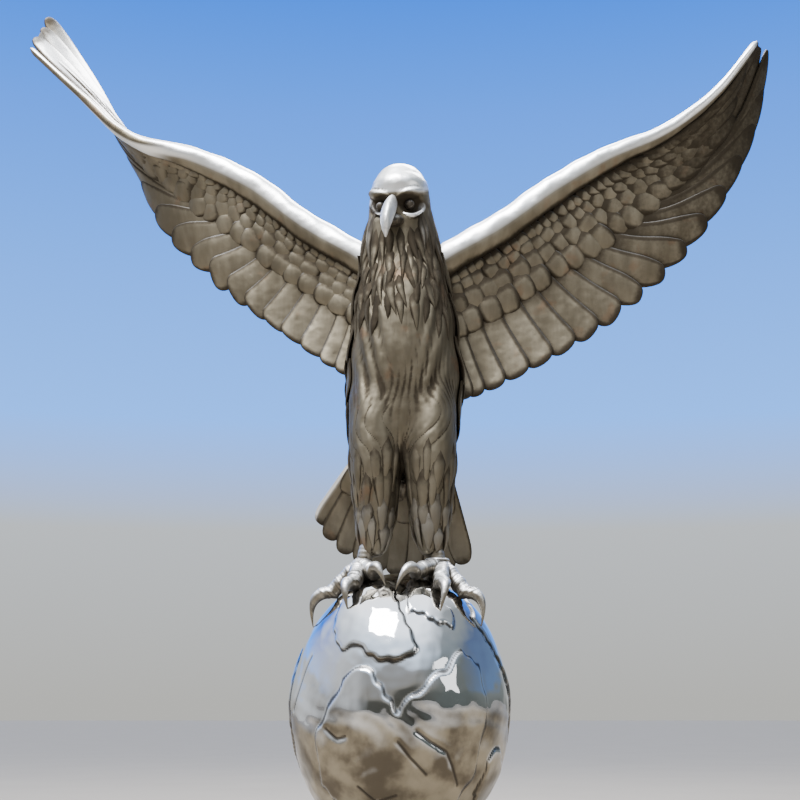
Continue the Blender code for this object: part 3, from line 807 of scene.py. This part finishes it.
def build_mane(skin, cut):
    """Long pointed locks from the cheeks and the nape over the neck and the upper breast."""
    made = []
    t = np.linspace(0, 1, 7)
    for row, (top, bottom, count, width, forward, painted_highlight) in enumerate(MANE_ROWS):
        for k in range(count):
            angle = 2 * math.pi * (k + 0.5 * (row % 2)) / count + chance.uniform(-0.1, 0.1)
            if math.cos(angle + math.pi / 2 + 0.25) > forward:
                continue
            low = bottom + chance.uniform(-0.025, 0.025)
            lean = chance.uniform(-0.16, 0.16)
            guess = [outside(TRUNK, top + (low - top) * share, angle + lean * share**2, 1.02) for share in t]
            lift = -0.013 + 0.0135 * np.sin(t * math.pi * 0.75) + 0.003 * (row < 3) * abs(math.cos(angle))
            nodes, normals = skin.spine(guess, lift)
            half_width = width * chance.uniform(0.45, 0.65)
            # The top rows' locks get a painted highlight, strongest at their roots
            made.append(feather(f"lock_{row}_{k}", cut, nodes, normals, half_width, 0.017, dome=0.08,
                                twist=chance.uniform(-0.15, 0.15), dirt=chance.uniform(0.38, 0.95),
                                painted_highlight=painted_highlight))
    return join("mane", made, 50)


def build_back(skin, cut):
    """Broad feathers over the back, the shoulders and the rump."""
    made = []
    t = np.linspace(0, 1, 6)
    for row in range(BACK_ROWS):
        tip = 0.655 - 0.052 * row
        for k in range(BACK_COUNT):
            angle = math.radians(90 + (k - (BACK_COUNT - 1) / 2 + 0.5 * (row % 2) - 0.25) * 21)
            guess = [outside(TRUNK, tip + 0.115 * (1 - share), angle, 1.05) for share in t]
            nodes, normals = skin.spine(guess, 0.001 + 0.011 * t)
            half_width = 0.053 * chance.uniform(0.9, 1.1)
            made.append(feather(f"back_{row}_{k}", cut, nodes, normals, half_width, 0.012, dome=0.14,
                                twist=chance.uniform(-0.06, 0.06), dirt=chance.uniform(0, 0.15)))
    return join("back_feathers", made, 60)


def build_trousers(skin, cut):
    """Tufts down the lower thighs, over the shanks, barely proud of the skin."""
    made = []
    t = np.linspace(0, 1, 6)
    for mirror in (1, -1):
        for row, (top, bottom, count, front_highlight) in enumerate(TUFT_ROWS):
            lift = -0.0105 + 0.0075 * np.sin(np.pi * 0.75 * t) + 0.0012 * row
            for k in range(count):
                angle = 2 * math.pi * (k + 0.5 * (row % 2)) / count + chance.uniform(-0.15, 0.15)
                low = bottom + chance.uniform(-0.012, 0.012)
                high = top + chance.uniform(-0.030, 0.015)
                curl = chance.uniform(-0.25, 0.25)
                guess = [outside(THIGH, high + (low - high) * share, angle + curl * share**2, 1.02, mirror,
                                 TRUNK_MIDDLE) for share in t]
                nodes, normals = skin.spine(guess, lift)
                half_width = 0.027 * chance.uniform(0.8, 1.25)
                # Tufts facing forward get a painted highlight
                painted_highlight = front_highlight if math.sin(angle) < 0 else 0
                made.append(feather(f"tuft_{row}_{k}", cut, nodes, normals, half_width, 0.016, dome=0.14,
                                    twist=chance.uniform(-0.2, 0.2), dirt=chance.uniform(-0.15, 0.1),
                                    painted_highlight=painted_highlight))
    return join("trousers", made, 50)


def tapered(name, table, up, sides, rings, section):
    """A form through a table of points and half sizes; section gives its outline and marks at each place."""
    nodes = shares([point for point, _, _ in table])
    half = EAGLE_HEIGHT * np.array([(width, height) for _, width, height in table])

    def place(z, angle):
        centre, side, top = path_frame(nodes, z, np.array(up))
        size = catmull(half, z)
        across, above, *marks = section(z, np.cos(angle), np.sin(angle))
        points = centre + side * (size[:, 0] * across)[:, None] + top * (size[:, 1] * above)[:, None]
        return points, *marks

    return bend(name, rod(sides, rings), place)


def hook_section(z, c, s):
    """Narrow on top, flat below, with the cere's edge, painted shade underneath and a painted highlight on
    its back.
    """
    narrow = 1 - 0.30 * np.clip(s, 0, 1) ** 1.3
    cere = 1 + 0.05 * smooth(0.36, 0.30, z)
    lower = np.where(s < 0, 0.62, 1.0)
    return c * narrow * cere, s * lower * cere, 0.35 * smooth(-0.3, -1, s), 0.9 * smooth(-0.5, 0.0, s)


def jaw_section(z, c, s):
    """Round, darker towards its top as painted shade under the upper beak."""
    return c, s, 0.3 + 0.5 * smooth(0.2, 1.0, s)


def build_face():
    """The hooked beak with its cere, the lower jaw and the eyes."""
    made = [tapered("beak", BEAK, (0, -1.0, 0.35), 28, 44, hook_section),
            tapered("jaw", JAW, (0, 0.0, 1.0), 20, 24, jaw_section)]
    for eye in EYES:
        ball = lump("eye", shares(eye), (EYE_RADIUS,) * 3)
        points, _ = read_points(ball.data)
        look = unit(np.array([0.25 if eye[0] > 0 else -0.35, -1, -0.12]))
        away = np.degrees(np.arccos(np.clip(unit(points - shares(eye)) @ look, -1, 1)))
        in_iris = (away > IRIS_FROM) & (away < IRIS_TO)
        # The eyeball is painted dark as shade, save a lighter ring for the iris
        write_mark(ball.data, "grime_and_shade", np.where(in_iris, 0.3, 1.0))
        made.append(ball)
    return join("face", made, 50)


def globe_point(x, y, lift):
    """Points over the globe at shares of its half width, lifted along its normals, and those normals."""
    x, y = np.asarray(x, float), np.asarray(y, float)
    aim = np.stack([x, y, np.sqrt(np.maximum(1 - x**2 - y**2, 0))], axis=-1)
    normals = unit(aim / GLOBE_HALF)
    return GLOBE_CENTRE + aim * GLOBE_HALF + normals * np.asarray(lift)[..., None], normals


def shank(name, nodes):
    """The bare leg over the foot, ringed with scutes in its lower half."""

    def place(z, angle):
        centre, across, up = path_frame(nodes, z, np.array([0, 1.0, 0]))
        rings = np.abs(np.sin(z * 44))
        scutes = 1 + 0.03 * rings * smooth(0.4, 0.6, z)
        radius = SHANK_RADIUS * (0.85 + 0.35 * smooth(0.75, 1.0, z)) * scutes
        points = centre + across * (radius * np.cos(angle))[:, None] + up * (radius * np.sin(angle))[:, None]
        return points, 0.15 + 0.3 * (rings < 0.3)

    return bend(name, rod(24, 60), place)


def toe(name, stance, end):
    """A knuckled, scaled toe arched over the globe from the stance to the tip of its smooth claw."""
    way_x, way_y = end[0] - stance[0], end[1] - stance[1]

    def place(t, angle):
        x, y = stance[0] + way_x * t, stance[1] + way_y * t
        claw = np.clip((t - CLAW_FROM) / (1 - CLAW_FROM), 0, 1)
        radius = TOE_RADIUS * (1.15 - 0.25 * t) * (1 - 0.93 * claw**1.15)
        arch = TOE_RADIUS * (1.3 * (1 - t) ** 2 + 1.5 * np.sin(np.pi * np.clip((t - 0.55) / 0.45, 0, 1)))
        lift = radius * 0.75 + arch
        nodes, normals = globe_point(x, y, lift)
        ahead, _ = globe_point(x + 0.01 * way_x, y + 0.01 * way_y, lift)
        ahead = unit(ahead - nodes)
        across = unit(np.cross(normals, ahead))
        up = np.cross(ahead, across)
        knuckle = sum(bell(t - k, 0.045) for k in KNUCKLES)
        scaled = 1 - smooth(0.60, 0.63, t)
        scutes = np.abs(np.sin(t * 70))
        swell = 1 + 0.13 * knuckle * scaled + 0.045 * (scutes * scaled * np.clip(np.sin(angle), 0, 1))
        radius = radius * (swell + 0.10 * bell(t - 0.635, 0.012))
        points = nodes + across * (radius * np.cos(angle) * (1 - 0.2 * claw))[:, None]
        points = points + up * (radius * np.sin(angle))[:, None]
        # Dark joints between the scutes, and painted shade on the toe's underside
        dark = 0.1 + 0.5 * scaled * (scutes < 0.35) + 0.35 * smooth(-0.2, -0.9, np.sin(angle))
        return points, np.clip(dark, 0, 1)

    return bend(name, rod(20, 80), place)


def build_feet():
    """Shanks, one with its anklet, and four toes each, gripping the globe."""
    made = []
    for index, (stance, claw_ends) in enumerate(FEET):
        side = 1 if stance[0] > 0 else -1
        foot, _ = globe_point(stance[0], stance[1], 0.012)
        ankle = foot + np.array([0, 0, ANKLE_HEIGHT * EAGLE_HEIGHT])
        x, y, height, _, _ = THIGH[-3]
        knee = shares((TRUNK_MIDDLE + side * x, y, height))
        made.append(shank(f"shank_{index}", np.array([knee, knee * 0.5 + ankle * 0.5, ankle, foot])))
        made.append(lump(f"pad_{index}", foot + np.array([0, -0.004, 0.012]), (0.050, 0.052, 0.034)))
        if side > 0:
            anklet = primitive(bpy.ops.mesh.primitive_torus_add, "anklet", major_radius=0.043,
                               minor_radius=0.008, major_segments=32, minor_segments=10)
            anklet.location = ankle + np.array([0, 0, -0.012])
            bpy.ops.object.transform_apply(location=True)
            made.append(anklet)
        made += [toe(f"toe_{index}_{number}", stance, end) for number, end in enumerate(claw_ends)]
    return join("feet", made, 50)


def build_tail(flight_cut, covert_cut):
    """A fan of long feathers from the vent, with short feathers over their roots on both faces."""
    root = shares(TAIL_ROOT)
    tips = shares(TAIL_TIPS)
    back = unit(np.array([0, 1, 0.35]))
    made = []

    def spine(share, start, end, lift):
        first = root + np.array([share * TAIL_ROOT_SPREAD, -0.01 * abs(share), 0]) * EAGLE_HEIGHT
        last = catmull(tips, (share + 1) / 2)
        t = np.linspace(start, end, 7)
        line = first + (last - first) * t[:, None] + back * (0.03 * np.sin(np.pi * t))[:, None]
        return line + back * (lift * np.linspace(0.4, 1, 7))[:, None]

    for k in range(TAIL_FEATHERS):
        share = 2 * k / (TAIL_FEATHERS - 1) - 1
        nodes = spine(share, 0, 1, 0.003 * (k % 2))
        # The outermost feather's edge gets a painted highlight
        made.append(feather(f"tail_{k}", flight_cut, nodes, np.tile(back, (7, 1)), 0.052, 0.026,
                            twist=math.radians(7 if share > 0 else -7), dome=0.10,
                            rim=1 if k == 0 else 0))
    for face in (-1, 1):
        for row, (start, end, number) in enumerate(TAIL_COVERT_ROWS):
            for k in range(number):
                share = (2 * k / (number - 1) - 1) * (0.92 - 0.12 * row)
                nodes = spine(share, start, end + chance.uniform(-0.02, 0.02), face * (0.022 + 0.008 * row))
                made.append(feather(f"tail_covert_{row}_{k}", covert_cut, nodes, np.tile(back * face, (7, 1)),
                                    0.050, 0.013, dome=0.14))
    return join("tail", made, 60)


def inside_coast(longitude, latitude, coast):
    """A signed distance in degrees to a coastline, positive on the land."""
    coast = np.array(coast, float)
    nearest = np.full(longitude.shape, 1e9)
    inside = np.zeros(longitude.shape, bool)
    middle = coast[:, 0].mean()
    longitude = (longitude - middle + 180) % 360 - 180 + middle
    squeeze = np.cos(np.radians(latitude))
    weight = squeeze**2
    for (x0, y0), (x1, y1) in zip(coast, np.roll(coast, -1, axis=0)):
        dx, dy = (x1 - x0), (y1 - y0)
        px, py = longitude - x0, latitude - y0
        t = np.clip((px * dx * weight + py * dy) / (dx * dx * weight + dy * dy + 1e-9), 0, 1)
        gap = np.hypot((px - t * dx) * squeeze, py - t * dy)
        nearest = np.minimum(nearest, gap)
        crosses = (y0 > latitude) != (y1 > latitude)
        inside ^= crosses & (longitude < dx * (latitude - y0) / (dy if dy else 1e-9) + x0)
    return np.where(inside, nearest, -nearest)


def build_globe():
    """The polished ball: hand-beaten and slightly dented, crumpled below, with raised land and folds."""
    globe = primitive(bpy.ops.mesh.primitive_uv_sphere_add, "polished_globe", segments=320, ring_count=220,
                      radius=1)
    points, _ = read_points(globe.data)
    x, y, z = points.T
    longitude = np.degrees(np.arctan2(x, -y))
    latitude = np.degrees(np.arcsin(np.clip(z, -1, 1)))
    ragged = (0.8 * np.sin(longitude * 0.31 + latitude * 0.23)
              + 0.5 * np.sin(longitude * 0.73 - latitude * 0.47))
    land = np.max([inside_coast(longitude, latitude, coast) for coast in LANDS], axis=0) + ragged
    dents = DENT_DEPTH * (np.sin(x * 9 + 2 * z) * np.sin(y * 8 - z * 5) + np.sin(z * 11 + x * 6 - y * 4))
    crumples = np.sin(x * 19 + 5 * np.sin(z * 7)) * np.sin(z * 17 - y * 6 + 3 * np.sin(x * 6))
    dents = dents + CRUMPLE_DEPTH * smooth(0.15, -0.15, z) * crumples
    off_fold = np.min([-inside_coast(longitude, latitude, fold + fold[-2:0:-1]) for fold in FOLDS], axis=0)
    fold = bell(off_fold, 1.0)
    rise = LAND_RELIEF * smooth(-0.9, 0.9, land) - FOLD_DEPTH * fold + dents - SEA_DEPTH
    normals = unit(points / GLOBE_HALF)
    write_points(globe.data, GLOBE_CENTRE + points * GLOBE_HALF + normals * rise[:, None])
    # Dark lines at the foot of the coasts and along the folds: painted shade in the creases
    write_mark(globe.data, "grime_and_shade", np.maximum(bell(land + 0.4, 0.9), 0.9 * fold))
    bpy.ops.object.shade_smooth()
    return globe


def build_base():
    """The turned foot with its collar, and the lip that rises to the globe's seat."""
    top, step = BASE_HEIGHT, BASE_STEP_HEIGHT
    waist = COLLAR_RADIUS + COLLAR_BEAD
    cove_end = BASE_RADIUS * 0.9
    drop = top - 2 * COLLAR_BEAD - step
    level = 1 - GLOBE_SEAT / GLOBE_HALF[2]
    mouth = GLOBE_HALF[0] * math.sqrt(1 - level**2)
    profile = [(mouth - 0.03, top - 0.02), (mouth + 0.006, top)]
    profile += [(COLLAR_RADIUS + COLLAR_BEAD * math.sin(a), top - COLLAR_BEAD + COLLAR_BEAD * math.cos(a))
                for a in np.linspace(0, math.pi, 16)]
    profile += [(cove_end - (cove_end - waist) * math.cos(a), step + drop * (1 - math.sin(a)))
                for a in np.linspace(0.05, math.pi / 2 - 0.02, 14)]
    profile += [(cove_end, step)]
    profile += [(BASE_RADIUS - BASE_ROUND + BASE_ROUND * math.sin(a),
                 step - BASE_ROUND + BASE_ROUND * math.cos(a)) for a in np.linspace(0, math.pi / 2, 6)]
    profile += [(BASE_RADIUS, BASE_CHAMFER), (BASE_RADIUS - BASE_CHAMFER, 0.0), (0.02, 0.0)]
    base = primitive(bpy.ops.mesh.primitive_circle_add, "turned_base", vertices=len(profile), radius=1)
    for vertex, (x, z) in zip(base.data.vertices, profile):
        vertex.co = (x, 0, z)
    bpy.ops.object.mode_set(mode="EDIT")
    bpy.ops.mesh.select_all(action="SELECT")
    bpy.ops.mesh.spin(steps=120, angle=2 * math.pi, center=(0, 0, 0), axis=(0, 0, 1))
    bpy.ops.mesh.select_all(action="SELECT")
    bpy.ops.mesh.remove_doubles(threshold=0.0001)
    bpy.ops.mesh.normals_make_consistent(inside=False)
    bpy.ops.object.mode_set(mode="OBJECT")
    bpy.ops.object.shade_smooth_by_angle(angle=math.radians(35))
    return base


class Signal:
    """A value in a node tree, so that shader maths reads as arithmetic."""

    def __init__(self, nodes, socket):
        self.nodes = nodes
        self.socket = socket

    def combine(self, operation, *operands):
        return self.nodes.node("ShaderNodeMath", {"operation": operation}, operands)

    def __add__(self, other):
        return self.combine("ADD", self, other)

    def __radd__(self, other):
        return self.combine("ADD", other, self)

    def __sub__(self, other):
        return self.combine("SUBTRACT", self, other)

    def __rsub__(self, other):
        return self.combine("SUBTRACT", other, self)

    def __mul__(self, other):
        return self.combine("MULTIPLY", self, other)

    def clamp(self):
        return self.nodes.node("ShaderNodeClamp", {}, (self, 0.0, 1.0))

    def between(self, low, high):
        """0 below low, 1 above high, smooth between."""
        return self.nodes.node("ShaderNodeMapRange", {"interpolation_type": "SMOOTHSTEP"},
                               {"Value": self, "From Min": low, "From Max": high})

    def ramp(self, start, end, most):
        """0 at start, most at end, straight between."""
        return self.nodes.node("ShaderNodeMapRange", {},
                               {"Value": self, "From Min": start, "From Max": end, "To Max": most})


class Nodes:
    """A node tree under construction."""

    def __init__(self, tree):
        self.tree = tree

    def node(self, kind, settings, values, output=0):
        made = self.tree.nodes.new(kind)
        for key, value in settings.items():
            setattr(made, key, value)
        pairs = values.items() if isinstance(values, dict) else enumerate(values)
        for key, value in pairs:
            self.put(made.inputs[key], value)
        return Signal(self, made.outputs[output])

    def put(self, socket, value):
        if isinstance(value, Signal):
            self.tree.links.new(value.socket, socket)
        else:
            socket.default_value = value

    def blend(self, factor, first, second):
        mixed = self.tree.nodes.new("ShaderNodeMix")
        mixed.data_type = "RGBA"
        for name, value in (("Factor_Float", factor), ("A_Color", first), ("B_Color", second)):
            self.put(next(s for s in mixed.inputs if s.identifier == name), value)
        return Signal(self, next(s for s in mixed.outputs if s.identifier == "Result_Color"))

    def sweep(self, height, table):
        """A colour looked up by height in a table of positions and colours."""
        made = self.tree.nodes.new("ShaderNodeValToRGB")
        self.put(made.inputs["Fac"], height)
        stops = made.color_ramp.elements
        for index, (position, colour) in enumerate(table):
            stop = stops[index] if index < 2 else stops.new(position)
            stop.position = position
            stop.color = (*colour, 1)
        return Signal(self, made.outputs["Color"])


class Finish(Nodes):
    """A material under construction."""

    def __init__(self, name):
        self.made = bpy.data.materials.new(name)
        self.made.use_nodes = True
        super().__init__(self.made.node_tree)
        self.shader = self.tree.nodes["Principled BSDF"]

    def place(self, scale=(1, 1, 1)):
        spot = self.node("ShaderNodeTexCoord", {}, {}, "Object")
        return self.node("ShaderNodeMapping", {}, {"Vector": spot, "Scale": scale})

    def noise(self, scale, detail, stretch=(1, 1, 1)):
        values = {"Vector": self.place(stretch), "Scale": scale, "Detail": detail}
        return self.node("ShaderNodeTexNoise", {}, values, "Fac")

    def dents(self, scale):
        return self.node("ShaderNodeTexVoronoi", {"feature": "SMOOTH_F1"},
                         {"Vector": self.place(), "Scale": scale, "Smoothness": 0.7}, "Distance")

    def mark(self, name):
        return self.node("ShaderNodeAttribute", {"attribute_name": name}, {}, "Fac")

    def unoccluded(self, reach):
        """Ambient occlusion, 1 in the open and towards 0 in crevices, used to paint shade into the colour."""
        return self.node("ShaderNodeAmbientOcclusion", {"samples": 8}, {"Distance": reach}, "AO")

    def facing_up(self):
        """1 where the surface looks up, 0 level, -1 where it looks down."""
        normal = self.node("ShaderNodeNewGeometry", {}, {}, "Normal")
        return self.node("ShaderNodeSeparateXYZ", {}, {"Vector": normal}, "Z")

    def bump(self, height, strength, distance, under=None):
        values = {"Height": height, "Strength": strength, "Distance": distance}
        if under is not None:
            values["Normal"] = under
        return self.node("ShaderNodeBump", {}, values, "Normal")

    def finish(self, colour, roughness, normal=None, metallic=1.0):
        self.put(self.shader.inputs["Base Color"], colour)
        self.put(self.shader.inputs["Roughness"], roughness)
        self.put(self.shader.inputs["Metallic"], metallic)
        if normal is not None:
            self.put(self.shader.inputs["Normal"], normal)
        return self.made


def beaten_steel(name, highlight_from, highlight_to, light, rough, beat):
    """Hand-beaten satin stainless: a painted highlight where it faces up, a taupe tone below as painted shade
    and the warm ground's painted reflection, painted shade in the crevices.
    """
    steel = Finish(name)
    grime_and_shade = steel.mark("grime_and_shade")
    patches = steel.noise(3.0, 4)
    fine = steel.noise(55.0, 3)
    streaks = steel.noise(16.0, 3, (1, 1, 0.18))
    # Painted highlight where the surface faces up, and wherever a piece marks one
    lit_from_above = (steel.facing_up() + (patches - 0.5) * 0.3).between(highlight_from, highlight_to)
    highlit = (lit_from_above + steel.mark("painted_highlight")).clamp()
    # The taupe tone off the lit tops: painted shade and the warm ground's painted reflection, streaked and
    # patched at random
    painted_shade_dark = (0.150 * light, 0.128 * light, 0.092 * light, 1)
    painted_shade_light = (0.270 * light, 0.236 * light, 0.175 * light, 1)
    painted_shade = steel.blend((streaks * 0.6 + patches * 0.4).between(0.35, 0.7), painted_shade_dark, painted_shade_light)
    warm = steel.blend(steel.noise(9.0, 3).between(0.60, 0.72) * 0.32, painted_shade, (0.20, 0.10, 0.05, 1))
    highlit_colour = steel.blend(highlit, warm, (0.96, 0.96, 0.96, 1))
    # Painted shade in the crevices, from the marks and from ambient occlusion, with fine random mottling
    dark = (grime_and_shade + (1 - steel.unoccluded(0.06)) * 0.9 + (fine - 0.5) * 0.4).between(0.28, 0.95)
    colour = steel.blend(dark * 0.9, highlit_colour, (0.045, 0.036, 0.026, 1))
    roughness = rough + fine * 0.12 + dark * 0.18 - highlit * (rough - 0.30)
    beaten = steel.bump(steel.dents(26.0), beat, 0.005)
    lumpy = steel.bump(steel.noise(11.0, 2), beat, 0.012, beaten)
    normal = steel.bump(fine, 0.15, 0.002, lumpy)
    return steel.finish(colour, roughness, normal)


def bright_steel():
    """The brighter steel of face, feet and claws: a painted highlight where it faces up, a darker tone below
    and in crevices as painted shade, and dark blotches.
    """
    steel = Finish("bright_steel")
    grime_and_shade = steel.mark("grime_and_shade")
    fine = steel.noise(70.0, 3)
    patches = steel.noise(12.0, 3)
    # Painted highlight where the surface faces up, and wherever a piece marks one
    lit_from_above = (steel.facing_up() + (patches - 0.5) * 0.6).between(0.0, 0.6)
    highlit = (lit_from_above + steel.mark("painted_highlight")).clamp()
    # A darker tone off the lit tops as painted shade
    painted_shade = steel.blend(patches.between(0.3, 0.7), (0.16, 0.135, 0.10, 1), (0.36, 0.33, 0.28, 1))
    highlit_colour = steel.blend(highlit, painted_shade, (0.84, 0.84, 0.84, 1))
    blotches = steel.noise(24.0, 4).between(0.48, 0.62)
    # Painted shade from ambient occlusion and the marks, with random dark blotches
    shade = (1 - steel.unoccluded(0.06)) * 0.9
    dark = (grime_and_shade + shade + blotches * 0.45 + (fine - 0.5) * 0.5).between(0.25, 0.95)
    colour = steel.blend(dark * 0.88, highlit_colour, (0.05, 0.042, 0.034, 1))
    roughness = 0.36 + patches * 0.16 + dark * 0.25
    beaten = steel.bump(steel.dents(60.0), 0.35, 0.003)
    normal = steel.bump(steel.noise(38.0, 3), 0.5, 0.006, beaten)
    return steel.finish(colour, roughness, normal)


def mirror_steel():
    """Mirror polish with faint smears, a painted reflection of brown ground below and painted shade along
    coasts and folds.
    """
    steel = Finish("mirror_polish")
    smears = steel.noise(5.0, 5)
    coast = steel.mark("grime_and_shade")
    # Painted reflection of brown ground where the surface faces down, mottled at random
    under = (0.10 - steel.facing_up() + (smears - 0.5) * 0.6).between(-0.05, 0.30)
    blotches = steel.noise(7.0, 4).between(0.38, 0.62)
    ground_reflection = steel.blend(blotches, (0.11, 0.094, 0.072, 1), (0.30, 0.265, 0.205, 1))
    skin = steel.blend(under, (0.74, 0.755, 0.78, 1), ground_reflection)
    colour = steel.blend(coast.between(0.3, 0.9) * 0.9, skin, (0.04, 0.035, 0.03, 1))
    roughness = 0.04 + smears.between(0.4, 0.8) * 0.06 + coast * 0.2 + under * 0.05
    normal = steel.bump(steel.noise(6.0, 2), 0.40, 0.03)
    return steel.finish(colour, roughness, normal)


def base_steel():
    """Turned satin steel, with the fine rings the polishing wheel left."""
    steel = Finish("turned_satin")
    rings = steel.noise(90.0, 2, (0.02, 0.02, 1))
    patches = steel.noise(6.0, 4)
    colour = steel.blend(patches.between(0.3, 0.7), (0.50, 0.49, 0.47, 1), (0.62, 0.61, 0.59, 1))
    roughness = 0.24 + rings * 0.12
    return steel.finish(colour, roughness, steel.bump(rings, 0.15, 0.001))


def floor_finish():
    """Pale stone ground."""
    stone = Finish("pale_floor")
    grain = stone.noise(1.2, 4)
    colour = stone.blend(grain, (0.31, 0.275, 0.225, 1), (0.36, 0.32, 0.265, 1))
    return stone.finish(colour, 0.7, metallic=0.0)


def dress(piece, material, slot, *nodes):
    """Give a piece its material, hang it from the root and hide the nodes that it replaces; slot is not used.
    """
    piece.data.materials.clear()
    piece.data.materials.append(material)
    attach(piece, "root")
    if nodes:
        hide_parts(*nodes)


def build_floor():
    """The ground the figure stands on."""
    floor = primitive(bpy.ops.mesh.primitive_plane_add, "floor", size=160)
    floor.data.materials.append(floor_finish())


def build_room():
    """The colours around the figure: a backdrop, a wall in front, and a card on each side."""
    world = bpy.data.worlds.new("studio")
    world.use_nodes = True
    room = Nodes(world.node_tree)
    direction = room.node("ShaderNodeTexCoord", {}, {}, "Generated")
    across, deep, height = (room.node("ShaderNodeSeparateXYZ", {}, {"Vector": direction}, axis)
                            for axis in "XYZ")
    behind = deep.ramp(-0.25, 0.25, 1.0)
    colour = room.blend(behind, room.sweep(height, FRONT_WALL), room.sweep(height, BACKDROP))
    for start, end, cover, card in SIDE_CARDS:
        colour = room.blend(across.ramp(start, end, cover), colour, card)
    background = world.node_tree.nodes["Background"]
    room.put(background.inputs["Color"], colour)
    background.inputs["Strength"].default_value = ROOM_BRIGHTNESS
    bpy.context.scene.world = world


def add_lamps():
    """Square lamps, each turned to what it aims at."""
    for name, (spot, aim, size, watts) in LAMPS.items():
        lamp = bpy.data.objects.new(name, bpy.data.lights.new(name, "AREA"))
        lamp.data.size = size
        lamp.data.energy = watts
        lamp.location = spot
        lamp.rotation_euler = (Vector(aim) - Vector(spot)).to_track_quat("-Z", "Y").to_euler()
        bpy.context.scene.collection.objects.link(lamp)


def add_camera():
    """A camera in front of the figure, looking up at it."""
    camera = bpy.data.objects.new("camera", bpy.data.cameras.new("camera"))
    camera.data.lens = 60
    camera.data.sensor_width = 36
    camera.location = (0, -CAMERA_DISTANCE, CAMERA_HEIGHT)
    camera.rotation_euler = (math.pi / 2 + math.radians(CAMERA_TILT), 0, 0)
    bpy.context.scene.collection.objects.link(camera)
    bpy.context.scene.camera = camera


def main():
    """Build the room and the figure."""
    build_floor()
    build_room()
    add_lamps()
    add_camera()
    flight_cut = Cut(28, 26, 0.84, root=0.95, squareness=0.85, ridge=0.001)
    primary_cut = Cut(28, 26, 0.60, root=0.95, squareness=0.85, ridge=0.001, point=2.2)
    covert_cut = Cut(16, 11, 0.45, root=0.85, squareness=0.66, ridge=0.0006, point=2.6)
    lock_cut = Cut(10, 10, 0.25, root=0.5, squareness=1.0, ridge=0.002, point=1.35)
    wing_steel = beaten_steel("wing_steel", highlight_from=0.14, highlight_to=0.46, light=0.93, rough=0.44,
                              beat=0.30)
    body_steel = beaten_steel("body_steel", highlight_from=0.50, highlight_to=0.88, light=0.76, rough=0.50,
                              beat=0.45)
    face_steel = bright_steel()
    body = build_body()
    skin = Skin(body)
    dress(body, body_steel, "eagle_steel", "eagle")
    dress(build_mane(skin, lock_cut), body_steel, "eagle_steel")
    dress(build_back(skin, covert_cut), body_steel, "eagle_steel")
    dress(build_trousers(skin, lock_cut), body_steel, "eagle_steel")
    dress(build_face(), face_steel, "eagle_steel")
    dress(build_feet(), face_steel, "eagle_steel")
    dress(build_tail(flight_cut, covert_cut), wing_steel, "eagle_steel")
    for wing in (Wing("left_wing", LEFT_WING, side=1, shade=(0.26, 0.70), overlap=0.61, turns_at=NEVER),
                 Wing("right_wing", RIGHT_WING, side=-1, shade=(0.04, 0.20), overlap=0.67, turns_at=0.60)):
        made = wing.build(flight_cut, primary_cut, covert_cut, FLIGHT_FEATHERS[wing.name])
        dress(made, wing_steel, "eagle_steel")
    dress(build_globe(), mirror_steel(), "mirror_steel", "globe")
    dress(build_base(), base_steel(), "base_steel", "base")


main()
